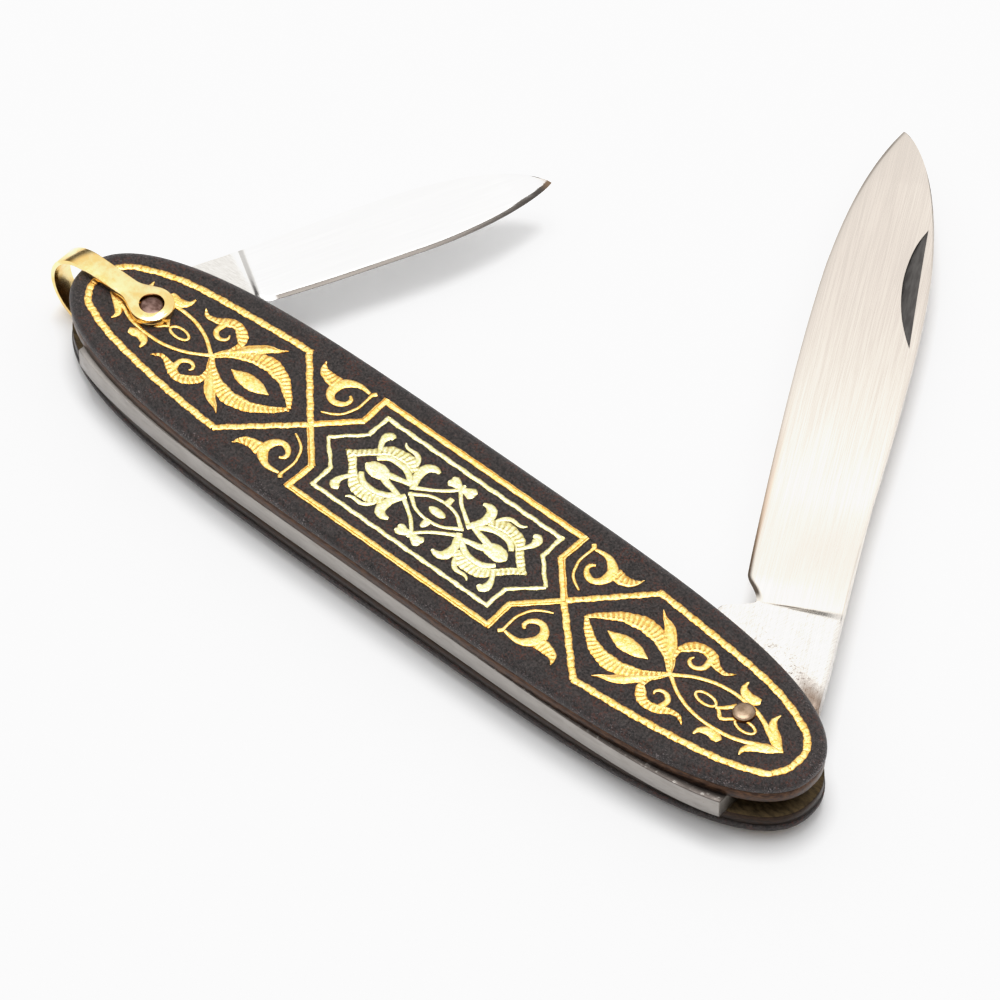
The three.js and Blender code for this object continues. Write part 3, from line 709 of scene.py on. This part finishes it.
PANEL = [
    ("panel", [(0, 4.9, 0.46), (9.9, 4.9, 0.46)]),
    ("panel", [(9.9, 5.1, 0.44), (9.95, 2.4, 0.44)]),
    ("panel", [(9.9, 2.5, 0.4), (12.4, 0, 0.4)]),
]
CORNER = [
    ("plain", [(12.4, 6.25, 0.38), (12.65, 5.95, 0.38), (12.65, 5.6, 0.26), (12.6, 4.2, 0.24),
               (12.8, 3.5, 0.24), (13.15, 2.7, 0.24), (13.75, 2.15, 0.24), (14.7, 1.65, 0.18)]),
    ("plain", [(12.9, 5.9, 0.28), (13.6, 6, 0.4), (14.35, 5.95, 0.52), (15.05, 5.55, 0.74),
               (15.55, 4.95, 0.84), (15.65, 4.2, 0.8), (15.4, 3.6, 0.66), (14.85, 3.2, 0.54),
               (14.2, 3.3, 0.52), (13.7, 3.75, 0.4), (13.65, 4.3, 0.38), (14, 4.6, 0.22)]),
    ("ridge", [(15.7, 5.05, 1.04), (16.3, 4.95, 1.06), (16.95, 5, 0.9), (17.5, 5.2, 0.72), (17.9, 5.6, 0.4),
               (18.15, 6.1, 0.06)]),
]
END = [
    ("ridge", [(16.95, 0, 0.34), (18, 1, 0.64), (19.35, 2, 0.92), (20.7, 2.5, 1.26), (22.05, 2.6, 1.32),
               (23.1, 2.3, 1.14), (24.3, 1.65, 0.74), (25.25, 0.9, 0.52), (26, 0.1, 0.34)]),
    ("leaf", [(21.4, 4.8, 0.06), (22.05, 4.25, 0.34), (22.85, 3.85, 0.68), (23.6, 3.15, 0.92),
              (24.25, 2.4, 0.94), (24.9, 1.65, 0.74), (25.55, 1, 0.52), (26.1, 0.2, 0.28)]),
    ("ridge", [(25.6, 0.7, 0.22), (25.35, 1.6, 0.28), (25.15, 2.5, 0.54), (25.5, 3.15, 0.84),
               (26.1, 3.7, 0.86), (26.9, 3.95, 0.78), (27.65, 3.75, 0.84), (28.25, 3.4, 0.74),
               (28.85, 3.15, 0.52), (29.55, 3.05, 0.4), (30, 3.3, 0.28), (30.4, 3.65, 0.06)]),
    ("plain", [(27.75, 3.6, 0.58), (27.9, 2.95, 0.52), (27.9, 2.4, 0.46), (27.55, 2, 0.44),
               (27.05, 1.85, 0.4), (26.6, 2.05, 0.34), (26.45, 2.4, 0.26), (26.6, 2.7, 0.12)]),
    ("plain", [(25.95, -0.25, 0.4), (26.35, 0.05, 0.4), (27.2, 0.65, 0.34), (28.1, 1.2, 0.34),
               (29.2, 1.65, 0.34), (30.4, 1.95, 0.34), (31.6, 2.05, 0.34), (32.65, 2, 0.34),
               (34.15, 1.8, 0.4), (35.05, 1.5, 0.4), (36, 1.05, 0.46), (36.9, 0.65, 0.58),
               (37.8, 0.3, 0.58), (38.55, 0, 0.14)]),
    ("plain", [(31.7, 3.7, 0.18), (31.75, 3.1, 0.46), (32.2, 2.7, 0.74), (32.8, 2.5, 0.84),
               (33.4, 2.65, 0.86), (33.8, 2.8, 0.52)]),
    ("plain", [(35.95, 2.8, 0.12), (35.85, 2.1, 0.48), (36.35, 1.35, 0.72), (37.05, 0.75, 0.9),
               (37.8, 0.3, 0.68), (38.55, 0, 0.14)]),
]
LENS = [
    ("plain", [(19.35, 0, 0.08), (19.95, 0, 0.64), (20.75, 0, 1.1), (21.5, 0, 1.34), (22.3, 0, 1.18),
               (23.1, 0, 0.72), (23.8, 0, 0.08)]),
]
KNOT = [
    oval(30.15, 0.02, 1.06, 0.5, 0.26),
    oval(34.47, -0.02, 1.03, 0.5, 0.26),
    ("plain", [(31.3, 0, 0.22), (31.75, -0.2, 0.32), (32.4, -0.7, 0.34), (33.2, -0.05, 0.32),
               (33.45, 0.15, 0.22)]),
    ("plain", [(31.35, -0.15, 0.28), (32.05, 0.5, 0.4), (32.55, 1.2, 0.38)]),
]
CENTRE = [
    ("plain", [(0, 1.2, 0.28), (0.9, 1.1, 0.28), (1.65, 0.85, 0.28), (2.3, 0.4, 0.34), (3.05, -0.1, 0.34)]),
    ("plain", [(0, 3.15, 0.32), (0.55, 2.55, 0.32), (1.2, 1.95, 0.32), (2, 1.4, 0.32), (2.95, 0.8, 0.38)]),
    ("plain", [(0, 3.75, 0.22), (0, 3.25, 0.48)]),
    ("plain", [(-0.05, 3.1, 0.32), (0.6, 3.3, 0.52), (1.2, 3.2, 0.64), (1.4, 3.15, 0.22)]),
    ("plain", [(-0.05, 3.2, 0.32), (0.5, 3.5, 0.48), (1.1, 3.7, 0.64), (1.35, 3.8, 0.22)]),
    ("plain", [(2.5, 3.3, 0.28), (3, 3.4, 0.54), (3.55, 3.2, 0.72), (3.8, 2.7, 0.78), (3.8, 2.1, 0.72),
               (3.65, 1.6, 0.6), (3.4, 1.05, 0.58), (3.05, 0.45, 0.48)]),
    ("ridge", [(4.15, 2.05, 0.52), (4.85, 2.45, 0.84), (5.6, 2.65, 0.9), (6.5, 2.6, 0.9), (7.3, 2.35, 0.84),
               (7.95, 1.75, 0.66), (8.6, 1.05, 0.58), (9.4, 0.3, 0.58), (10.3, 0, 0.12)]),
    ("plain", [(3.7, 0.85, 0.44), (4.3, 1.4, 0.48), (5.1, 1.75, 0.48), (6, 1.85, 0.48), (6.75, 1.75, 0.48),
               (7.3, 1.4, 0.48), (7.65, 1, 0.38)]),
    ("plain", [(3.55, 0.85, 0.44), (4.4, 0.6, 0.44), (5.3, 0.4, 0.54), (6, 0.25, 0.44)]),
    ("plain", [(4.55, 2.55, 0.28), (4.65, 2.9, 0.34), (5, 3.35, 0.4), (5.5, 3.6, 0.38), (6.2, 3.55, 0.32),
               (6.65, 3.65, 0.26), (6.9, 3.9, 0.12)]),
    ("plain", [(7.95, 3.55, 0.34), (8.3, 3.6, 0.68), (8.6, 3.3, 0.72), (8.6, 2.85, 0.54), (8.4, 2.35, 0.4),
               (8, 1.75, 0.38)]),
]
CORE = [
    ("plain", [(5.35, 0, 0.34), (5.75, 0, 0.86), (6.4, 0.05, 1.2), (7.2, 0.05, 1.2), (7.7, 0, 0.86),
               (8, 0, 0.22)]),
]
BUDS = [
    ("plain", [(0.15, 1.95, 0.4), (0.15, 1.1, 0.64)]),
    ("plain", [(0.15, -1.05, 0.64), (0.15, -1.85, 0.52), (0.15, -2.1, 0.18)]),
]
OVAL = [
    ("plain", [(-0.75, 0, 0.18), (-0.6, 0, 0.58), (-0.2, 0, 0.8), (0.2, 0, 0.8), (0.75, 0, 0.68),
               (1, 0, 0.28), (1.05, 0, 0.12)]),
]
# the height of each mirrored lower half beside the upper one
LOWER_HALF = {"border": 1.0, "panel": 0.955, "corner": 0.97, "end": 0.93, "centre": 0.99}

SECTIONS = {  # across a stroke, from its right side at -1 to its left side at 1, and the height there
    "plain": [(-1, 0.40), (-0.82, 0.78), (-0.35, 0.98), (0.1, 1), (0.5, 0.93), (0.85, 0.74), (1, 0.40)],
    "panel": [(-1, 0.45), (-0.7, 0.9), (0, 1), (0.7, 0.9), (1, 0.45)],
    "band": [(-1, 0.45), (-0.8, 0.9), (-0.2, 1), (0.26, 0.96), (0.36, 0.3), (0.52, 0.3), (0.62, 0.85),
             (0.88, 0.8), (1, 0.4)],
    "leaf": [(-1, 0.42), (-0.82, 0.66), (-0.6, 0.5), (-0.42, 0.94), (0, 1), (0.42, 0.94), (0.6, 0.5),
             (0.82, 0.66), (1, 0.42)],
    "ridge": [(-1, 0.40), (-0.85, 0.80), (-0.6, 0.98), (-0.5, 0.98), (-0.2, 1), (0.1, 1), (0.4, 0.97),
              (0.75, 0.88), (1, 0.40)],
    "notch": [(-1, 0.40), (-0.75, 0.86), (-0.25, 1), (0.25, 1), (0.75, 0.86), (1, 0.40)],
}
GRAVING = {  # period of the engraved lines across a stroke, their slant, depth and share of the period
    "ridge": (0.44, 0.16, 0.72, 0.46),
    "notch": (0.78, 0.15, 0.65, 0.2),
}
HATCH_FROM = -0.55  # the engraved lines leave a plain band along a stroke's right side
FINE_STEP, COARSE_STEP = 0.065, 0.24  # between a stroke's sections, with and without engraved lines
RAGGED = {  # how uneven a stroke's edges are
    "plain": 0.05, "panel": 0.16, "band": 0.07, "leaf": 0.05, "ridge": 0.06, "notch": 0.09,
}


def engraved(style, along):
    """How much of the height is left at a distance along a stroke."""
    if style not in GRAVING:
        return 1.0
    period, _, depth, share = GRAVING[style]
    phase = (along / period) % 1
    return 1 - depth * math.sin(math.pi * phase / share) if phase < share else 1.0


def stroke_rings(style, places):
    """The sections of one gold stroke on the front face, as rings of (x, y, z)."""
    line = np.array(smooth(places, FINE_STEP if style in GRAVING else COARSE_STEP))
    along = np.concatenate([[0], np.cumsum(np.linalg.norm(np.diff(line[:, :2], axis=0), axis=1))])
    slopes = np.gradient(line[:, :2], axis=0)
    slopes /= np.maximum(np.linalg.norm(slopes, axis=1), 1e-9)[:, None]
    phases = [random.uniform(0, 6.28) for _ in range(4)]
    top = random.uniform(0.92, 1.0)
    rings = []
    for (x, y, width), (tx, ty), s in zip(line, slopes, along):
        half = max(width, 0.05) / 2
        edges = [1 + RAGGED[style] * (math.sin(3.1 * s + a) + 0.7 * math.sin(9.7 * s + b))
                 for a, b in (phases[:2], phases[2:])]
        ring = []
        for across, height in SECTIONS[style]:
            out = across * half * (edges[0] if across < 0 else edges[1])
            slant = GRAVING[style][1] * out if style in GRAVING else 0.0
            cut_depth = engraved(style, s + slant) if across > HATCH_FROM else 1.0
            rise = INLAY_RISE * top * height * cut_depth
            ring.append((x - ty * out, y + tx * out, FRONT_FACE + max(rise, 0.012)))
        under = [(ring[-1][0], ring[-1][1], FRONT_FACE - 0.02), (ring[0][0], ring[0][1], FRONT_FACE - 0.02)]
        rings.append([*ring, *under])
    return rings


def squeezed(x):
    """The bail end's medallion is a little shorter than the other."""
    start, squeeze = 20, 0.972
    return x if x < start else start + (x - start) * squeeze


def make_ornament(side, node, new_name, parts, slot, material, widen=1.0):
    """One gold piece from strokes. parts is a list of (strokes, x factor, y factor)."""
    verts, faces = [], []
    for strokes, fx, fy in parts:
        for style, places in strokes:
            wide = [(x if fx > 0 else squeezed(x), y, w * widen) for x, y, w in places]
            rings = [[(x * fx, y * fy, facing(side, z)) for x, y, z in ring]
                     for ring in stroke_rings(style, wide)]
            more_verts, more_faces = loft(rings)
            faces += [tuple(i + len(verts) for i in face) for face in more_faces]
            verts += more_verts
    piece(f"{side}_{new_name}", verts, faces, HANDLE, slot, material, [f"{side}_{node}"], sharp=50)


def quarters(strokes, kind):
    low = -LOWER_HALF[kind]
    return [*both_ends(strokes), (strokes, -1, low), (strokes, 1, low)]


def both_ends(strokes):
    return [(strokes, 1, 1), (strokes, -1, 1)]


def make_ornaments(side, warm, pale):
    make_ornament(side, "border_inlay", "border_gold",
                  [*quarters(BORDER, "border"), *both_ends(MEDALLION_TOP), *both_ends(MEDALLION_LOW)],
                  "gold", warm, widen=1.1)
    make_ornament(side, "panel_frame_inlay", "panel_gold", quarters(PANEL, "panel"), "pale_gold", pale)
    make_ornament(side, "centre_inlay", "centre_gold",
                  [*quarters(CENTRE, "centre"), *both_ends(CORE), (BUDS, 1, 1)],
                  "pale_gold", pale, widen=1.28)
    make_ornament(side, "centre_oval_inlay", "centre_oval_gold", [(OVAL, 1, 1)], "pale_gold", pale)
    for name, fx in (("main_end", 1), ("bail_end", -1)):
        make_ornament(side, f"{name}_inlay", f"{name}_gold",
                      [(END, fx, 1), (END, fx, -LOWER_HALF["end"]), (LENS, fx, 1), (KNOT, fx, 1)],
                      "gold", warm, widen=1.16)
    for letter, (strokes, fx, fy) in zip("abcd", quarters(CORNER, "corner")):
        make_ornament(side, f"corner_scroll_{letter}", f"corner_gold_{letter}", [(strokes, fx, fy)],
                      "gold", warm, widen=1.2)


# ---- the materials of the plates, blades and fittings ----


def liner_brass():
    """Brass plates, browned along the edges and olive on the faces inside the slot, with the back liner's edge
    painted near black as shade under the spring.
    """
    s = Shader("liner_brass", Metallic=0.85)
    grain = s.noise(3.0, detail=5, stretch=(0.4, 1.0, 1.6))
    edge = s.blend(s.span(grain, 0.35, 0.68), (0.024, 0.012, 0.008), (0.105, 0.054, 0.030))
    inside = s.blend(s.span(grain, 0.35, 0.65), (0.030, 0.020, 0.009), (0.085, 0.058, 0.027))
    s.relief(grain, 0.02, 0.4)
    # painted shade: the back liner's edge, under the spring, goes near black
    edge = s.blend(s.span(s.z, MIDDLE - 0.2, MIDDLE + 0.2, 0.7, 0.0), edge, (0.010, 0.007, 0.005))
    return s.finish(s.blend(s.span(s.flat, 0.5, 0.8), edge, inside), s.span(grain, 0.3, 0.7, 0.32, 0.5))


def spring_steel():
    """Satin spring steel with cloudy stains, darker in patches along its top edge near the main blade's end,
    and darker on that end's face.
    """
    s, tone, rough = steel("spring_steel", (0.335, 0.312, 0.29), (0.3, 3.0), 0.4, scratch=0.5, speck=0.5)
    cloudy = s.noise(0.8, detail=6, roughness=0.7, shift=14, stretch=(0.5, 1.0, 2.2))
    tone = s.blend(s.span(cloudy, 0.40, 0.66, 0.0, 0.55), tone, (0.24, 0.222, 0.205))
    # darker in patches along the top edge, just under the front liner, towards the main blade's end
    above = s.span(s.z, SLOT_HIGH - 0.16, SLOT_HIGH - 0.04)
    near_end = s.span(s.x, -4, 16)
    patchy = s.span(s.noise(2.0, detail=5, shift=8), 0.22, 0.46)
    tone = s.blend(s.times(above, near_end, patchy, 0.9), tone, (0.055, 0.045, 0.040))
    end_face = s.span(s.x, SPRING["ends"][1] - 0.1, SPRING["ends"][1] - 0.02, 0.0, 0.6)
    tone = s.blend(end_face, tone, (0.16, 0.14, 0.12))
    return s.finish(tone, rough)


def main_blade_steel():
    """Brushed blade steel, scored across the tang, with stains beside the cover and an orange heel, and with
    painted shade as a dark line at the tang's step and a dark cutting-edge bevel.
    """
    s, tone, rough = steel("main_blade_steel", (0.90, 0.83, 0.745), (0.10, 7.0), 0.27, scratch=0.3)
    tone = s.blend(s.span(s.x, 16, 54), tone, (0.61, 0.545, 0.485))
    shade = s.span(s.noise(0.10, detail=2, shift=12, stretch=(0.3, 3.0, 1.0)), 0.35, 0.65, 0.0, 0.25)
    tone = s.blend(shade, tone, (0.72, 0.66, 0.59))
    scratch = s.noise(0.7, detail=2, stretch=(0.6, 26.0, 1.0), turn=7, shift=17)
    tone = s.blend(s.span(scratch, 0.66, 0.72, 0.0, 0.35), tone, (0.52, 0.48, 0.44))
    tang = s.span(s.x, 13.4, 14.6, 1.0, 0.0)
    score = s.noise(2.2, detail=6, roughness=0.75, stretch=(0.5, 6.0, 1.0), turn=38, shift=5)
    tone = s.blend(tang, tone, s.blend(s.span(score, 0.36, 0.60), (0.57, 0.54, 0.50), (0.85, 0.805, 0.75)))
    off_cover = s.maths("SUBTRACT", s.maths("SUBTRACT", s.x, s.times(s.y, 0.8)), 8.5)
    beside_cover = s.times(tang, s.span(off_cover, 3.6, 0.6), s.span(s.y, 4.0, -1.0, 0.0, 0.9))
    specks = s.span(s.noise(2.6, detail=7, roughness=0.85, shift=13), 0.53, 0.60)
    tone = s.blend(s.times(specks, beside_cover), tone, (0.10, 0.075, 0.06))
    stain = s.times(tang, s.span(off_cover, 2.6, 0.2), s.span(s.y, -2.4, -4.8, 0.0, 0.85))
    tone = s.blend(stain, tone, (0.16, 0.10, 0.065))
    heel = s.times(s.span(s.y, 2.75, 3.15), s.span(s.x, 16.5, 17.0), s.span(s.x, 17, 40, 0.7, 0.0))
    tone = s.blend(heel, tone, (0.50, 0.26, 0.10))
    # painted shade: a dark line along the tang's step down to the blade
    end, lean = MAIN_RAMP[1]
    from_line = s.apart(s.maths("ADD", s.x, s.times(s.y, lean)), end - RAMP_FOOT * lean)
    line = s.times(s.span(from_line, 0.03, 0.16, 1.0, 0.0), s.span(s.y, -4.2, -0.5, 0.0, 0.7))
    tone = s.blend(line, tone, (0.22, 0.18, 0.155))
    # painted shade: faces tilted off flat along the cutting edge are coloured dark, standing in for the darker
    # light they reflect
    bevel = s.times(s.span(s.flat, 0.985, 0.955), s.span(s.y, -1.0, 0.5), s.span(s.x, 14.5, 15.5))
    tone = s.blend(s.times(bevel, s.span(s.x, 18, 42, 0.95, 0.5)), tone, (0.040, 0.026, 0.016))
    s.relief(s.maths("ADD", s.noise(1.0, detail=4, stretch=(0.2, 8.0, 1.0), shift=3), s.times(score, tang)),
             0.006, 0.12)
    return s.finish(tone, rough)


def pen_blade_steel():
    """Bright polished steel with a browned tip; its cutting-edge bevel is painted dark and its step down from
    the tang painted grey, both as shade.
    """
    s, tone, rough = steel("pen_blade_steel", (0.98, 0.97, 0.95), (0.1, 6.0), 0.20, scratch=0.3)
    # painted shade: the tilted cutting-edge bevel, and both edges near the tip, are coloured dark for the
    # darker light they reflect
    low_side = s.maths("MAXIMUM", s.span(s.y, 1.5, -0.2), s.span(s.x, 33, 37))
    bevel = s.times(s.span(s.flat, 0.992, 0.985), s.span(s.x, 10.2, 11.5), low_side, 0.95)
    tone = s.blend(bevel, tone, (0.020, 0.013, 0.008))
    tone = s.blend(s.span(s.x, 37.4, 38.8, 0.0, 0.6), tone, (0.30, 0.19, 0.11))
    tang = s.span(s.x, 9.2, 10.2, 1.0, 0.0)
    score = s.noise(2.0, detail=6, roughness=0.75, stretch=(0.6, 5.0, 1.0), turn=60, shift=7)
    tone = s.blend(tang, tone, s.blend(s.span(score, 0.35, 0.62), (0.62, 0.60, 0.57), (0.77, 0.745, 0.705)))
    # painted shade: a darker grey band on the tang's step down to the blade
    start, lean = PEN_PLUNGE
    upright = s.maths("SUBTRACT", s.x, s.times(s.maths("SUBTRACT", s.y, PLUNGE_FOOT), lean))
    past_start = s.span(upright, start - 0.12, start + 0.08)
    ramp_shade = s.times(past_start, s.span(upright, start + 0.3, start + 0.75, 0.7, 0.0))
    tone = s.blend(ramp_shade, tone, (0.30, 0.285, 0.27))
    return s.finish(tone, rough)


def nick_shade_steel():
    """The walls and bottom of a nail nick, painted dark as the shade inside it."""
    s = Shader("nick_shade_steel", Metallic=0.8)
    lines = s.noise(1.2, detail=4, stretch=(0.5, 2.5, 1.0), shift=4)
    return s.finish(s.blend(s.span(lines, 0.35, 0.65), (0.050, 0.046, 0.044), (0.085, 0.080, 0.076)),
                    s.span(lines, 0.3, 0.7, 0.45, 0.6))


def polished_gilt():
    s = Shader("polished_gilt", Metallic=1.0)
    wear = s.noise(0.7, detail=3)
    fine = s.noise(6.0, detail=4, stretch=(0.3, 2.5, 1.0))
    colour = s.blend(s.span(wear, 0.34, 0.66), (0.90, 0.58, 0.20), (1.0, 0.78, 0.38))
    s.relief(fine, 0.006, 0.25)
    return s.finish(colour, s.span(fine, 0.3, 0.7, 0.10, 0.22))


def pin_steel(name, dark, light, side):
    """A hammered pin end: smooth on top and browner down its side."""
    s = Shader(name, Metallic=0.9)
    grain = s.noise(1.5, detail=4)
    top = s.blend(s.span(grain, 0.36, 0.64), dark, light)
    s.relief(grain, 0.02, 0.4)
    return s.finish(s.blend(s.span(s.flat, 0.4, 0.8), side, top), s.span(grain, 0.3, 0.7, 0.26, 0.42))


# ---- making everything ----

black, brass, gilt, nick = black_steel(), liner_brass(), polished_gilt(), nick_shade_steel()
bright_pin = pin_steel("bright_pin", (0.20, 0.135, 0.085), (0.31, 0.22, 0.15), (0.16, 0.075, 0.035))
brown_pin = pin_steel("brown_pin", (0.085, 0.045, 0.035), (0.20, 0.125, 0.105), (0.12, 0.06, 0.04))
# the last colour of each gold is the painted shade in its engraved lines
warm_gold = inlay_gold("warm_gold", (0.78, 0.41, 0.085), (1.0, 0.69, 0.245), (0.62, 0.27, 0.05))
pale_gold = inlay_gold("pale_gold", (0.70, 0.60, 0.22), (0.98, 0.90, 0.50), (0.46, 0.36, 0.13))
for face in ("front", "back"):
    make_cover(face, black)
    make_liner(face, brass)
    make_ornaments(face, warm_gold, pale_gold)
make_spring(spring_steel())
make_blades(main_blade_steel(), pen_blade_steel(), nick)
make_pins(bright_pin, brown_pin)
make_washers(gilt)
make_bail(gilt)

# ---- floor, light and camera ----


def make_floor():
    """A white floor, six metres across, just under the lowest piece."""
    half, low = 3.0, min(heights("bail")[0], BACK_FACE) - 0.01
    mesh = bpy.data.meshes.new("floor")
    mesh.from_pydata([(x * half, y * half, low * MM) for x, y in ((-1, -1), (1, -1), (1, 1), (-1, 1))], [],
                     [(0, 1, 2, 3)])
    paper = Shader("white_paper", Specular_IOR_Level=0.2)
    mesh.materials.append(paper.finish((0.935, 0.937, 0.945), 0.8))
    floor = placed("floor", mesh)


KEY = Vector((-0.12, 0.12, 1.0)).normalized()  # towards the middle of the bright part of the room


def make_world():
    """A white room, bright overhead and dimmer towards the floor."""
    world = bpy.data.worlds.new("white_room")
    world.use_nodes = True
    nodes = Nodes(world.node_tree)
    background = nodes.tree.nodes["Background"]
    background.inputs["Color"].default_value = (1.0, 0.995, 0.985, 1)
    direction = nodes.node("TexCoord").outputs["Generated"]
    towards = nodes.node("VectorMath", {0: direction, 1: KEY}, operation="DOT_PRODUCT").outputs["Value"]
    nodes.feed(background.inputs["Strength"], nodes.span(towards, 0.35, 0.66, 0.12, 1.18))
    bpy.context.scene.world = world


def make_light():
    """A soft box above the knife, a little behind it and turned to it."""
    light = bpy.data.lights.new("soft_box", "AREA")
    light.shape, light.size, light.energy = "SQUARE", 0.42, 4.4
    obj = placed("soft_box", light)
    place = Vector((-0.12, 0.12, 0.88))
    obj.location = place
    obj.rotation_euler = (-place).to_track_quat("-Z", "Y").to_euler()


def make_camera():
    """The camera's own axes, right, up and back, stand as the columns of its matrix."""
    back = Vector((0.416045, -0.469245, 0.778920))
    right = Vector((0.748249, 0.663418, 0.0))
    up = back.cross(right)
    camera = bpy.data.cameras.new("camera")
    camera.sensor_width, camera.lens = 36, 260.34
    camera.clip_start, camera.clip_end = 0.01, 20
    obj = placed("camera", camera)
    matrix = Matrix((right, up, back)).transposed().to_4x4()
    matrix.translation = Vector((0.25913, -0.28406, 0.48613))
    obj.matrix_world = matrix
    bpy.context.scene.camera = obj


def soften_whites():
    """A plain view transform with a soft shoulder, so that the pale floor keeps its shading."""
    view = bpy.context.scene.view_settings
    view.view_transform = "Standard"
    view.use_curve_mapping = True
    mapping = view.curve_mapping
    mapping.use_clip = False
    curve = mapping.curves[3]
    curve.points[1].location = (1.28, 1.0)
    for place in ((0.70, 0.70), (1.0, 0.93)):
        curve.points.new(*place)
    mapping.update()


make_floor()
make_world()
make_light()
make_camera()
soften_whites()
